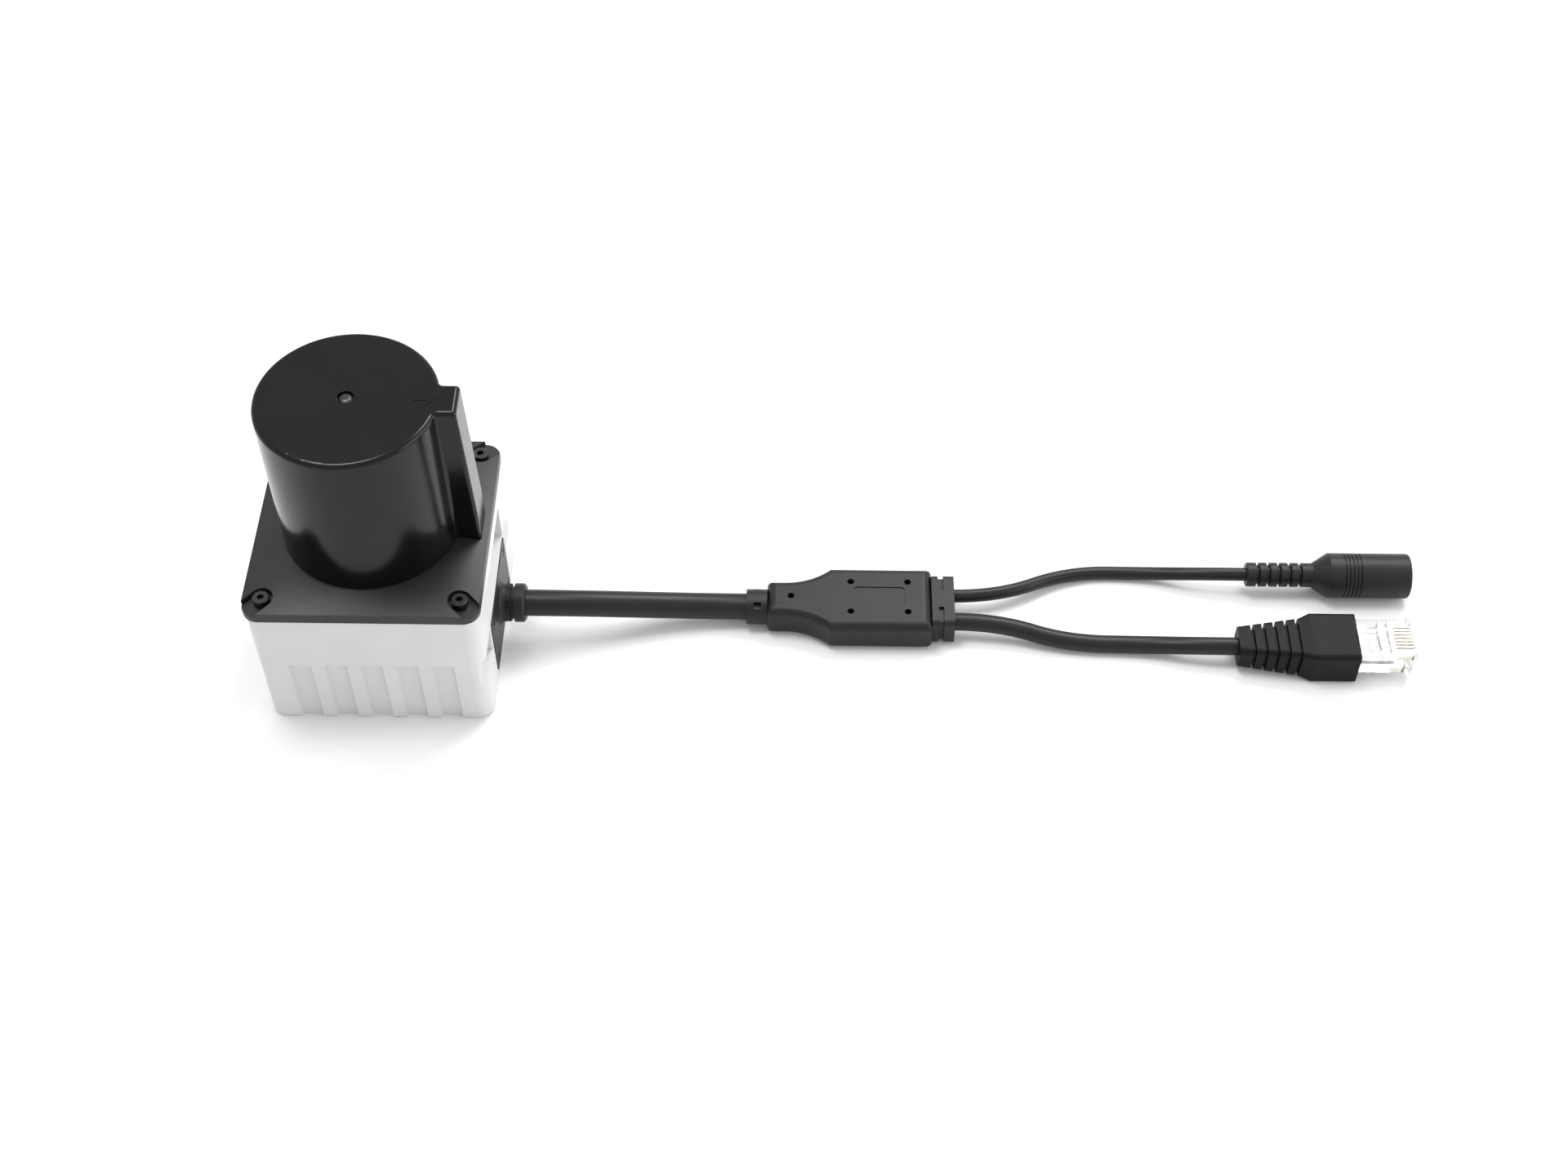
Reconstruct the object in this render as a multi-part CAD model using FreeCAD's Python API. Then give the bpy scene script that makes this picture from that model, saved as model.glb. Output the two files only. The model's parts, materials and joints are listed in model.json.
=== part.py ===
import FreeCAD, Part
import math
import os

# Compact scanning lidar: a square housing with a cover plate, a tall window hood over a
# spinning mirror, and a moulded two-way cable that ends in a barrel jack and a network plug.
# Millimetres. +Z is the scan axis, +X is the side where the cable leaves. The origin is the
# centre of the base.

V = FreeCAD.Vector
X_AXIS = V(1, 0, 0)
Y_AXIS = V(0, 1, 0)
Z_AXIS = V(0, 0, 1)

# ---------------------------------------------------------------- driving dimensions
# clearances
GAP = 0.05            # between pieces that sit in one another
RUN_GAP = 0.05        # radial, a pin that turns in its bore
THREAD_GAP = 0.02     # radial, a screw in its tapped hole
HEAD_GAP = 0.25       # radial, a screw head in its counterbore
PAST = 1.0            # how far a cutting tool runs past the face it opens
BITE = 0.5            # how far two halves of one piece run into each other

# housing
BODY_W = 53.0
BODY_H = 36.5
BODY_R = 3.6
BODY_WALL = 2.2
BODY_FLOOR = 2.5
BODY_FOOT_R = 0.5
CAVITY_R = 1.5
CABLE_WALL_PAD = 1.8      # extra wall thickness behind the cable entry
PAD_BITE = 0.3            # how far the thicker wall runs into the corner posts
RIB_GROOVES = 5
RIB_GROOVE_W = 5.4
RIB_PITCH = 8.3
RIB_DEPTH = 0.9
RIB_DRAFT = 0.5
RIB_H = 20.0
RECESS_MARGIN = 0.1       # shallow hand recess above the cable flange
RECESS_GAP = 0.3
RECESS_H = 10.0
RECESS_DEPTH = 1.9
NOTCH_GAP = 1.6           # latch notches on the two vertical edges of the cable side
NOTCH_H = 7.0
NOTCH_DEPTH = 1.75
MOUNT_INSET = 5.5         # threaded base holes, from the outer faces
MOUNT_HOLE_R = 1.25
MOUNT_HOLE_DEPTH = 6.0
POST_LOW_W = 9.7          # corner posts, below and above the motor deck
POST_HIGH_W = 5.4
SEAL_W = 1.0
SEAL_H = 0.6
SEAL_INSET = 0.6

# cover plate
COVER_OVERHANG = 0.5
COVER_R = 3.8
COVER_EDGE_T = 2.8
COVER_RISE = 1.6
SEAT_MARGIN = 0.4
COLLAR_GAP = 0.2
COLLAR_T = 1.7
COLLAR_H = 3.0
HOOD_SEAL_RISE = 1.0
HOOD_SEAL_H = 1.0
HOOD_SEAL_BITE = 0.8
COVER_SCREW_INSET = 4.0
POCKET_R = 2.75
POCKET_DEPTH = 1.2
SCREW_R = 1.0
SCREW_HEAD_R = 1.9
SCREW_HEAD_H = 2.0
SCREW_HEX = 1.5
SCREW_L = 8.0
SCREW_EDGE = 0.15         # chamfer round the top of a screw head
SOCKET_SHARE = 0.55       # depth of the hexagon socket as a share of the head

# window hood
HOOD_R = 20.5
HOOD_H = 40.6
HOOD_WALL = 1.4
HOOD_TOP_T = 1.6
HOOD_EDGE_R = 1.1
KEY_HALF_W = 4.6
KEY_PROUD = 5.1           # how far the key stands out of the round hood, at its foot
KEY_LEAN = 1.1            # how far its outer face leans in at the top
KEY_UPRIGHT_H = 6.7       # height over which it is upright above its foot
KEY_EDGE_R = 0.9
KEY_BLEND_R = 1.3
KEY_WALL = 1.3
DIMPLE_R = 2.0
DIMPLE_DEPTH = 0.7
HOOD_SCREW_R = 0.8
HOOD_SCREW_HEAD_R = 1.6
HOOD_SCREW_PROFILE = ((0.3, HOOD_SCREW_HEAD_R), (0.6, 1.25), (0.75, 0.7))    # height, radius
INDEX_W = 0.16            # engraved index mark beside the key
INDEX_DEPTH = 0.12
INDEX_LINE = ((-5.7, -0.65), (-2.6, -0.65))     # from the edge of the round top, and across it
INDEX_STROKE = ((-2.5, -1.6), (-0.7, 0.1))

# cable entry
ENTRY_Z = 11.3
FLANGE_W = 27.8
FLANGE_H = 17.4
FLANGE_R = 0.7
FLANGE_Z = 11.0
FLANGE_T = 1.2
FLANGE_PROUD = 0.25
FLANGE_SCREW_INSET = 2.5
FLANGE_SCREW_R = 0.8
FLANGE_SCREW_L = 3.2
FLANGE_SCREW_HEAD_R = 1.35
FLANGE_SCREW_HEAD_H = 0.7
FLANGE_SCREW_SINK = 0.8
FLANGE_SCREW_SOCKET_R = 0.55
FLANGE_SEAL_T = 0.4
ENTRY_HOLE_GAP = 0.8
JACKET_T = 0.9            # the cable's jacket, stripped off inside the housing
RELIEF_ROOT_T = 0.65      # rubber round the cable, inside the flange and outside it
RELIEF_T = 1.35
RELIEF_FLARE = 1.5
RELIEF_L = 6.15
RELIEF_NECK_L = 2.65
RELIEF_GROOVE_W = 0.9
RELIEF_GROOVE_DEPTH = 0.7
RELIEF_GROOVE_DRAFT = 0.15
RELIEF_PROUD = 0.1        # how far the end collar stands out of the neck
RELIEF_EDGE = 0.5
RELIEF_WINDOW_L = 1.2
RELIEF_WINDOW_HALF_W = 0.8

# electronics deck
EDGE_GAP_BOARD = 0.3
EDGE_GAP_DECK = 0.7
POST_GAP_BOARD = 0.4
POST_GAP_DECK = 0.2
BOARD_Z = 6.0
BOARD_T = 1.6
STANDOFF_INSET = 4.7
STANDOFF_Y = 9.0
STANDOFF_R = 2.0
STANDOFF_SPIGOT_R = 1.2
STANDOFF_SPIGOT = 1.2
STANDOFF_FLOOR = 0.5
BOARD_SCREW_HEAD_R = 1.8
BOARD_SCREW_HEAD_H = 1.2
SMALL_HEX = 1.3
HEADER_GAP = 1.9
HEADER_L = 6.0
HEADER_HALF_W = 5.5
HEADER_RISE = 1.0         # top of the board connector above the cable's axis

# motor, heights from the underside of its deck
DECK_DROP = 21.5          # from the rim of the housing down to the deck
DECK_T = 1.8
DECK_SCREW_INSET = 2.1
DECK_SCREW_L = 5.0
DECK_SCREW_HEAD_H = 1.4
SHAFT_R = 1.5
SHAFT_LOW = -2.0
SHAFT_L = 24.5
SHAFT_EDGE = 0.2
BEARING_T = 2.5
BEARING_W = 4.0
BEARING_SHIELD = 0.6
BEARING_RECESS = 0.2
BEARING_LOW = -1.0
BEARING_HIGH = 7.0
BEARING_SHOULDER = 0.9
TUBE_WALL = 1.6
TUBE_LOW = -1.6
TUBE_H = 13.0
AIR_GAP = 0.45
STATOR_LOW = 3.5
STATOR_H = 7.0
STATOR_YOKE_T = 1.8
STATOR_TEETH = 9
TOOTH_W = 2.2
TOOTH_SHOE_T = 1.0
TOOTH_SHOE_DEG = 30.0
COIL_W = 4.4
COIL_OVER = 0.6
COIL_EDGE_R = 0.5
COIL_ROOT_GAP = 0.5       # radial, from the coil to the yoke and to the tooth's shoe
COIL_SHOE_GAP = 0.3
BELL_R = 17.0
BELL_WALL = 1.6
BELL_LOW = 2.1
BELL_H = 13.9
BELL_TOP_T = 1.6
BELL_HUB_T = 2.0
BELL_HUB_H = 3.8
BELL_HOLE_R = 2.0
BELL_HOLE_CIRCLE = 10.0
BELL_HOLES = 6
MAGNET_COUNT = 12
MAGNET_T = 1.7
MAGNET_LOW = 3.0
MAGNET_H = 8.0
MAGNET_FILL = 0.9
LEDGE_W = 1.0
LEDGE_T = 1.0
ENCODER_W = 2.6
ENCODER_T = 0.3
ENCODER_SLOTS = 36
ENCODER_SLOT_W = 0.8
ENCODER_SLOT_IN = 0.3     # from the ledge to a slot, and from a slot to the rim
ENCODER_RIM = 0.35
SENSOR_HALF_W = 3.2
SENSOR_GAP = 1.1
SENSOR_BACK = 3.2
SENSOR_BACK_T = 2.2
SENSOR_H = 4.2
SENSOR_RUN_GAP = 0.4      # radial, between the light gate and the rotor
LEAD_SLOT_X = 9.5         # slots in the deck for the motor leads
LEAD_SLOT_HALF_L = 2.5
LEAD_SLOT_HALF_W = 1.5

# spinning mirror
CARRIER_R = 11.5
CARRIER_FLANGE_W = 2.5
CARRIER_FLANGE_T = 2.2
CARRIER_WALL = 1.8
CARRIER_HOLLOW_X = 2.0    # the hollow starts past the axis, and leaves a floor and a roof
CARRIER_FLOOR = 3.0
CARRIER_SHAFT_GAP = 0.3
MIRROR_T = 1.6
MIRROR_RISE = 10.1        # centre of the mirror above the seat of the hood
CARRIER_SCREWS = 3
CARRIER_SCREW_R = 0.8
CARRIER_SCREW_OUT = 1.2
CARRIER_SCREW_HEAD_R = 1.1
CARRIER_SCREW_HEAD_H = 1.0
CARRIER_SCREW_HEX = 0.9

# fixed receiver and emitter
BARREL_GAP = 1.5
BARREL_WALL = 1.8
BARREL_H = 10.0
BARREL_DROP = 6.5         # from the top of the hood to the top of the barrel
SPINE_GAP = 0.1
SPINE_T = 1.8
SPINE_SIDE_GAP = 0.4
FOOT_GAP = 0.9
FOOT_H = 5.0
BRIDGE_T = 1.8
BRIDGE_TAIL = 3.0
LENS_GAP = 0.8
LENS_T = 5.2
LENS_RIM_T = 1.4
LENS_RISE = 2.0
LENS_BORE_R = 3.4
LENS_RING_H = 1.4
LEDGE_BITE = 0.6          # how far the lens ledge and the lens ring cover the lens
LENS_LEDGE_T = 1.0
BARREL_STEP = 0.2         # how far the lens ledge runs into the barrel
EMITTER_R = 3.0
EMITTER_WALL = 0.7
EMITTER_RISE = 1.0
EMITTER_BORE_L = 2.2      # recess at the lower end, with the collimator standing in it
EMITTER_GLASS_IN = 0.8
EMITTER_GLASS_T = 1.4
DETECTOR_BOARD_T = 1.2
DETECTOR_BOARD_IN = 0.4
DETECTOR_X = -9.5
DETECTOR_CHIP = 5.0
DETECTOR_CHIP_H = 1.4
FLEX_T = 0.3
FLEX_W = 4.4
FLEX_GAP = 0.3
FLEX_TAIL = 3.0
FRAME_SCREW_Y = 1.7
FRAME_SCREW_IN = 1.3
FRAME_SCREW_HEAD_R = 1.3
FRAME_SCREW_HEAD_H = 1.2
FRAME_SCREW_END_GAP = 1.4
FRAME_SCREW_SOCKET_R = 0.5
FRAME_SCREW_SOCKET_H = 0.7

# splitter
MAIN_D = 6.5
DC_D = 3.3
NET_D = 4.4
SPLIT_T = 9.0
SPLIT_Y = 5.1
SPLIT_IN_L = 5.1
SPLIT_IN_T = 1.05
INLET_WINDOW_X = 1.8
INLET_WINDOW_L = 1.8
INLET_WINDOW_W = 2.4
INLET_WINDOW_OUT = 2.6
INLET_WINDOW_DEPTH = 1.4  # from the collar's full radius in to the window's floor and its roof
INLET_SKIN = 0.4
SPLIT_BODY_L = 40.2
SPLIT_NECK_W = 10.4
SPLIT_W = 19.0
SPLIT_NECK_L = 4.2
SPLIT_FLARE_L = 11.1
SPLIT_EDGE_R = 2.2
SPLIT_SIDE_R = 0.8
SPLIT_OUT_L = 5.5
SPLIT_OUT_W = 15.6
SPLIT_OUT_T = 8.0
SPLIT_OUT_R = 1.4
SPLIT_BAND_X = 1.6
SPLIT_BAND_W = 1.3
SPLIT_BAND_DEPTH = 0.7
SPLIT_BAND_KEEP = 2.6
SPLIT_PIN_R = 0.85
SPLIT_PIN_DEPTH = 2.2
SPLIT_PIN_X = (20.4, 34.3)
SPLIT_PIN_Y = 4.65
SPLIT_PIN_NECK_X = 5.8
LABEL_L = 12.6
LABEL_W = 6.1
LABEL_R = 0.9
LABEL_DEPTH = 0.25

# barrel jack
JACK_R = 5.55
JACK_Y = 16.35
JACK_RELIEF_T = 1.35
JACK_RELIEF_L = 16.2
JACK_GROOVES = 5
JACK_GROOVE_X = 2.35
JACK_GROOVE_PITCH = 2.6
JACK_GROOVE_DEPTH = 0.75
JACK_GROOVE_STEP = 0.3    # a groove's slope, floor and slope are each this long
JACK_NOSE = 0.3
JACK_CONE_L = 3.9
JACK_BODY_L = 19.9
JACK_RINGS = 5
JACK_RING_PITCH = 0.95
JACK_RING_X = 3.5
JACK_RING_DEPTH = 0.25
JACK_RING_SLOPE = 0.1
JACK_RING_FLOOR = 0.15
JACK_EDGE = 0.5
JACK_EDGE_IN = 0.15
JACK_BORE_R = 2.85
JACK_BORE_L = 9.6
JACK_LINER_T = 0.45
JACK_LINER_BACK = 0.6
JACK_PIN_R = 1.05
JACK_PIN_NOSE = 0.6
JACK_PIN_TIP = 0.15
JACK_PIN_TIP_R = 0.3
JACK_PIN_SETBACK = 1.0

# network plug
PLUG_W = 11.68
PLUG_H = 6.3
PLUG_Z0 = 3.0
PLUG_L = 19.4
PLUG_OUT = 13.4
PLUG_Y = -5.9
PLUG_NOSE = 0.35
BOOT_SIDE_T = 1.26
BOOT_ROOF_T = 0.7
BOOT_L = 28.2
BOOT_NOSE_W = 8.4
BOOT_NOSE_H = 6.8
BOOT_TAPER_W = 12.0
BOOT_TAPER_H = 9.0
BOOT_TAPER_L = 14.8
BOOT_SHOULDER_L = 2.6
BOOT_CORNER_R = 1.3
BOOT_NOSE_CORNER = 0.3    # how much rounder the corners grow toward the cable
BOOT_TAIL_L = 4.0         # opening under the plug for the latch's tail
BOOT_SLOTS = 5
BOOT_SLOT_W = 0.85
BOOT_SLOT_PITCH = 2.68
BOOT_SLOT_X = 3.0
BOOT_SLOT_DEPTH = 1.1
CONTACTS = 8
CONTACT_PITCH = 1.02
CONTACT_W = 0.45
CONTACT_L = 4.2
CONTACT_H = 2.4
CONTACT_BACK = 0.25
CONTACT_SINK = 0.3
WIRE_R = 0.42
WIRE_CHAMBER_H = 1.3
WIRE_CHAMBER_Z = 2.1
CRIMP_X = 9.6
CRIMP_L = 2.9
CRIMP_W = 8.2
CRIMP_DEPTH = 1.3
CRIMP_R = 0.3
GROOVE_X = 6.4
GROOVE_L = 0.5
GROOVE_HALF_W = 4.6
GROOVE_DEPTH = 0.8
LATCH_L = 10.4
LATCH_T = 0.8
LATCH_ROOT_W = 6.0
LATCH_TAIL_W = 3.2
LATCH_ROOT_SHARE = 0.45
LATCH_REST_DEG = 7.0      # slope of the latch when it is free
LATCH_DROP = 0.25         # how far the latch hangs under its pivot
LATCH_PIVOT_R = 0.5
LATCH_PIVOT_BACK = 1.1

# ---------------------------------------------------------------- derived sizes and places
BODY_HALF = BODY_W / 2
CAVITY_W = BODY_W - 2 * BODY_WALL
CAVITY_HALF = CAVITY_W / 2
CABLE_WALL_X = CAVITY_HALF - CABLE_WALL_PAD
POST_LOW = CAVITY_HALF - POST_LOW_W
POST_HIGH = CAVITY_HALF - POST_HIGH_W
CABLE_WALL_PAD_HALF = POST_HIGH + PAD_BITE
MOUNT_HALF_PITCH = BODY_HALF - MOUNT_INSET

HOOD_BORE_R = HOOD_R - HOOD_WALL
COLLAR_R = HOOD_BORE_R - COLLAR_GAP
COVER_BORE_R = COLLAR_R - COLLAR_T
COVER_W = BODY_W + 2 * COVER_OVERHANG
COVER_SCREW_HALF_PITCH = BODY_HALF - COVER_SCREW_INSET
COVER_EDGE_Z = BODY_H + COVER_EDGE_T
SEAT_R = HOOD_R + SEAT_MARGIN
SEAT_Z = COVER_EDGE_Z + COVER_RISE
HOOD_TOP_Z = SEAT_Z + HOOD_H
KEY_X_FOOT = HOOD_R + KEY_PROUD
KEY_X_TOP = KEY_X_FOOT - KEY_LEAN
KEY_BEND_Z = SEAT_Z + KEY_UPRIGHT_H
POCKET_Z = COVER_EDGE_Z - POCKET_DEPTH

FLANGE_X1 = BODY_HALF + FLANGE_PROUD
FLANGE_X0 = FLANGE_X1 - FLANGE_T
FLANGE_SEAL_X0 = FLANGE_X0 - FLANGE_SEAL_T
FLANGE_SCREW_Y = FLANGE_W / 2 - FLANGE_SCREW_INSET
FLANGE_SCREW_Z = FLANGE_H / 2 - FLANGE_SCREW_INSET
RELIEF_ROOT_R = MAIN_D / 2 + RELIEF_ROOT_T
RELIEF_R = MAIN_D / 2 + RELIEF_T
RELIEF_END_X = FLANGE_X1 + RELIEF_L
RELIEF_GROOVE_X = FLANGE_X1 + RELIEF_NECK_L
ENTRY_HOLE_R = RELIEF_ROOT_R + ENTRY_HOLE_GAP
RECESS_HALF_W = FLANGE_W / 2 + RECESS_MARGIN
RECESS_Z0 = FLANGE_Z + FLANGE_H / 2 + RECESS_GAP
RECESS_Z1 = RECESS_Z0 + RECESS_H
NOTCH_Y = FLANGE_W / 2 + NOTCH_GAP
NOTCH_Z1 = RECESS_Z0
NOTCH_Z0 = NOTCH_Z1 - NOTCH_H

BOARD_HALF = CABLE_WALL_X - EDGE_GAP_BOARD
BOARD_CORNER = POST_LOW - POST_GAP_BOARD
BOARD_TOP_Z = BOARD_Z + BOARD_T
STANDOFF_X = BOARD_HALF - STANDOFF_INSET
INNER_LEAD_X0 = CABLE_WALL_X - HEADER_GAP

DECK_Z = BODY_H - DECK_DROP
DECK_TOP_Z = DECK_Z + DECK_T
DECK_HALF = CABLE_WALL_X - EDGE_GAP_DECK
DECK_SCREW_HALF_PITCH = POST_LOW + DECK_SCREW_INSET
SHAFT_Z0 = DECK_Z + SHAFT_LOW
SHAFT_Z1 = SHAFT_Z0 + SHAFT_L
BEARING_R = SHAFT_R + BEARING_T
BEARING_LOW_Z = DECK_Z + BEARING_LOW
BEARING_HIGH_Z = DECK_Z + BEARING_HIGH
TUBE_R = BEARING_R + TUBE_WALL
TUBE_Z0 = DECK_Z + TUBE_LOW
STATOR_R = BELL_R - BELL_WALL - GAP - MAGNET_T - AIR_GAP
STATOR_Z = DECK_Z + STATOR_LOW
STATOR_YOKE_R = TUBE_R + STATOR_YOKE_T
BELL_Z0 = DECK_Z + BELL_LOW
BELL_Z1 = BELL_Z0 + BELL_H
BELL_HUB_R = SHAFT_R + BELL_HUB_T
MAGNET_Z0 = DECK_Z + MAGNET_LOW
LEDGE_R = BELL_R + LEDGE_W
ENCODER_R = BELL_R + ENCODER_W
ENCODER_Z = BELL_Z0 + LEDGE_T
CARRIER_FLANGE_R = CARRIER_R + CARRIER_FLANGE_W
CARRIER_SCREW_CIRCLE = CARRIER_R + CARRIER_SCREW_OUT
MIRROR_Z = SEAT_Z + MIRROR_RISE

BRIDGE_Z1 = HOOD_TOP_Z - HOOD_TOP_T - GAP
BRIDGE_Z0 = BRIDGE_Z1 - BRIDGE_T
BARREL_R = HOOD_BORE_R - BARREL_GAP
BARREL_BORE_R = BARREL_R - BARREL_WALL
BARREL_Z1 = HOOD_TOP_Z - BARREL_DROP
BARREL_Z0 = BARREL_Z1 - BARREL_H
LENS_R = BARREL_BORE_R - LENS_GAP
LENS_Z0 = BARREL_Z0 + LENS_RISE
EMITTER_Z0 = BARREL_Z0 + EMITTER_RISE
SPINE_X0 = HOOD_BORE_R + SPINE_GAP
SPINE_HALF_W = KEY_HALF_W - KEY_WALL - SPINE_SIDE_GAP
FOOT_X1 = KEY_X_FOOT - HOOD_WALL - FOOT_GAP
FRAME_SCREW_X = SPINE_X0 + FRAME_SCREW_IN
FLEX_SLOT_X = SPINE_X0 + SPINE_T + FLEX_GAP * 3

SPLIT_Z = SPLIT_T / 2
SPLIT_IN_R = MAIN_D / 2 + SPLIT_IN_T
JACK_Z = JACK_R
JACK_RELIEF_R = DC_D / 2 + JACK_RELIEF_T
BOOT_W = PLUG_W + 2 * BOOT_SIDE_T
BOOT_H = PLUG_Z0 + PLUG_H + BOOT_ROOF_T
BOOT_Z = BOOT_H / 2

# cable routes: centre-line points, straight runs joined by tangent arcs
ARC_SHARE = 0.45
MAIN_ROUTE = [
    (RELIEF_END_X, 0.0, ENTRY_Z),
    (46.5, 0.0, ENTRY_Z),
    (72.0, SPLIT_Y, SPLIT_Z),
    (86.0, SPLIT_Y, SPLIT_Z),
]
SPLIT_X0 = MAIN_ROUTE[-1][0]
SPLIT_BODY_X0 = SPLIT_X0 + SPLIT_IN_L
SPLIT_BODY_X1 = SPLIT_BODY_X0 + SPLIT_BODY_L
SPLIT_X1 = SPLIT_BODY_X1 + SPLIT_OUT_L
DC_ROUTE = [
    (SPLIT_X1, 9.2, SPLIT_Z),
    (147.8, 9.2, SPLIT_Z),
    (166.0, 19.6, DC_D / 2),
    (186.0, 19.5, DC_D / 2),
    (199.5, JACK_Y, JACK_Z),
    (209.4, JACK_Y, JACK_Z),
]
NET_ROUTE = [
    (SPLIT_X1, 1.1, SPLIT_Z),
    (147.4, 1.1, SPLIT_Z),
    (164.2, -3.4, NET_D / 2),
    (184.0, -3.6, NET_D / 2),
    (196.0, PLUG_Y, BOOT_Z),
    (204.9, PLUG_Y, BOOT_Z),
]
JACK_X0 = DC_ROUTE[-1][0]
JACK_CONE_X = JACK_X0 + JACK_RELIEF_L
JACK_X1 = JACK_CONE_X + JACK_CONE_L + JACK_BODY_L
BOOT_X0 = NET_ROUTE[-1][0]
BOOT_X1 = BOOT_X0 + BOOT_L
PLUG_X1 = BOOT_X1 + PLUG_OUT
PLUG_TOP_Z = PLUG_Z0 + PLUG_H
LATCH_PIVOT_X = PLUG_X1 - LATCH_PIVOT_BACK
LATCH_PIVOT_Z = PLUG_Z0 - LATCH_PIVOT_R / 2


# ---------------------------------------------------------------- shape helpers
def box(x0, x1, y0, y1, z0, z1):
    return Part.makeBox(x1 - x0, y1 - y0, z1 - z0, V(x0, y0, z0))


def rod(radius, start, length, axis=Z_AXIS):
    return Part.makeCylinder(radius, length, V(*start), axis)


def ring(outer, inner, z0, height):
    return rod(outer, (0, 0, z0), height).cut(rod(inner, (0, 0, z0), height))


def place(point, centre, plane):
    """A flat point set at a centre, in the XY plane or in the YZ plane."""
    u, v = point
    if plane == "xy":
        return V(centre[0] + u, centre[1] + v, centre[2])
    return V(centre[0], centre[1] + u, centre[2] + v)


def rounded_rect(width, depth, radius, centre, plane="xy"):
    """Closed wire of a rectangle with rounded corners, four lines and four arcs."""
    a = width / 2 - radius
    b = depth / 2 - radius
    turns = [(a, b, 0), (-a, b, 90), (-a, -b, 180), (a, -b, 270)]
    edges = []
    for i, (cx, cy, start) in enumerate(turns):
        angles = [math.radians(start + step) for step in (0, 45, 90)]
        arc = [(cx + radius * math.cos(t), cy + radius * math.sin(t)) for t in angles]
        arc = [place(p, centre, plane) for p in arc]
        next_x, next_y, next_start = turns[(i + 1) % 4]
        t = math.radians(next_start)
        follow = (next_x + radius * math.cos(t), next_y + radius * math.sin(t))
        edges.append(Part.Arc(*arc).toShape())
        edges.append(Part.makeLine(arc[2], place(follow, centre, plane)))
    return Part.Wire(edges)


def block(width, depth, radius, z0, height, centre=(0, 0)):
    """Upright prism with rounded vertical edges."""
    wire = rounded_rect(width, depth, radius, (centre[0], centre[1], z0))
    return Part.Face(wire).extrude(V(0, 0, height))


def polygon(points, direction):
    wire = Part.makePolygon([V(*p) for p in points] + [V(*points[0])])
    return Part.Face(wire).extrude(V(*direction))


def turned(profile, start, axis=X_AXIS):
    """Solid of revolution about a line through start; profile is (distance, radius) pairs."""
    points = [V(d, r, 0) for d, r in profile]
    closed = [V(profile[0][0], 0, 0)] + points + [V(profile[-1][0], 0, 0)]
    face = Part.Face(Part.makePolygon(closed + [closed[0]]))
    solid = face.revolve(V(0, 0, 0), X_AXIS, 360)
    solid.Placement = FreeCAD.Placement(V(*start), FreeCAD.Rotation(X_AXIS, axis))
    return Part.Solid(solid.Shells[0]) if solid.ShapeType != "Solid" else solid


def fused(shapes):
    whole = shapes[0]
    if len(shapes) > 1:
        whole = whole.multiFuse(shapes[1:])
    return whole.removeSplitter()


def biggest(shape):
    return max(shape.Solids, key=lambda s: s.Volume)


def corners(half_pitch):
    return [(sx * half_pitch, sy * half_pitch) for sx in (-1, 1) for sy in (-1, 1)]


def span(low, high, sign):
    return (low, high) if sign > 0 else (-high, -low)


def around(shape, count):
    copies = []
    for i in range(count):
        copy = shape.copy()
        copy.rotate(V(0, 0, 0), Z_AXIS, 360.0 * i / count)
        copies.append(copy)
    return copies


def sector(radius, degrees, z0, height):
    """Wedge about +X that reaches past a radius."""
    reach = radius * 1.2
    half = math.radians(degrees / 2)
    points = [(0, 0, z0), (reach, -reach * math.tan(half), z0), (reach, reach * math.tan(half), z0)]
    return polygon(points, (0, 0, height))


def edges_at(shape, z):
    """Edges that lie wholly in the level z."""
    found = []
    for edge in shape.Edges:
        if abs(edge.BoundBox.ZMin - z) < 1e-4 and abs(edge.BoundBox.ZMax - z) < 1e-4:
            found.append(edge)
    return found


def socket_screw(x, y, head_z, length, radius, head_r, head_h, hex_af):
    """Cap screw with a hexagon socket; head_z is the underside of its head."""
    top = head_z + head_h
    shank = rod(radius, (x, y, head_z - length), length)
    head = rod(head_r, (x, y, head_z), head_h)
    head = head.makeChamfer(SCREW_EDGE, edges_at(head, top))
    across = hex_af / math.sqrt(3)
    socket = [(x + across * math.cos(math.radians(60 * i)),
               y + across * math.sin(math.radians(60 * i)), top) for i in range(6)]
    return shank.fuse(head).cut(polygon(socket, (0, 0, -head_h * SOCKET_SHARE))).removeSplitter()


# ---------------------------------------------------------------- housing
def make_housing():
    outer = block(BODY_W, BODY_W, BODY_R, 0, BODY_H)
    outer = outer.makeFillet(BODY_FOOT_R, edges_at(outer, 0))
    cavity = block(CAVITY_W, CAVITY_W, CAVITY_R, BODY_FLOOR, BODY_H)
    reach = BODY_W
    left_solid = []
    for sx, sy in corners(1):
        low = box(*span(POST_LOW, reach, sx), *span(POST_LOW, reach, sy), 0, DECK_Z)
        high = box(*span(POST_HIGH, reach, sx), *span(POST_HIGH, reach, sy), 0, BODY_H)
        left_solid += [low, high]
    pad_half = CABLE_WALL_PAD_HALF
    left_solid.append(box(CABLE_WALL_X, reach, -pad_half, pad_half, 0, RECESS_Z1 + BODY_WALL))
    housing = outer.cut(cavity.cut(fused(left_solid)))
    cuts = side_grooves() + cable_side_cuts() + housing_holes()
    return housing.cut(Part.makeCompound(cuts)).removeSplitter()


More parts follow.
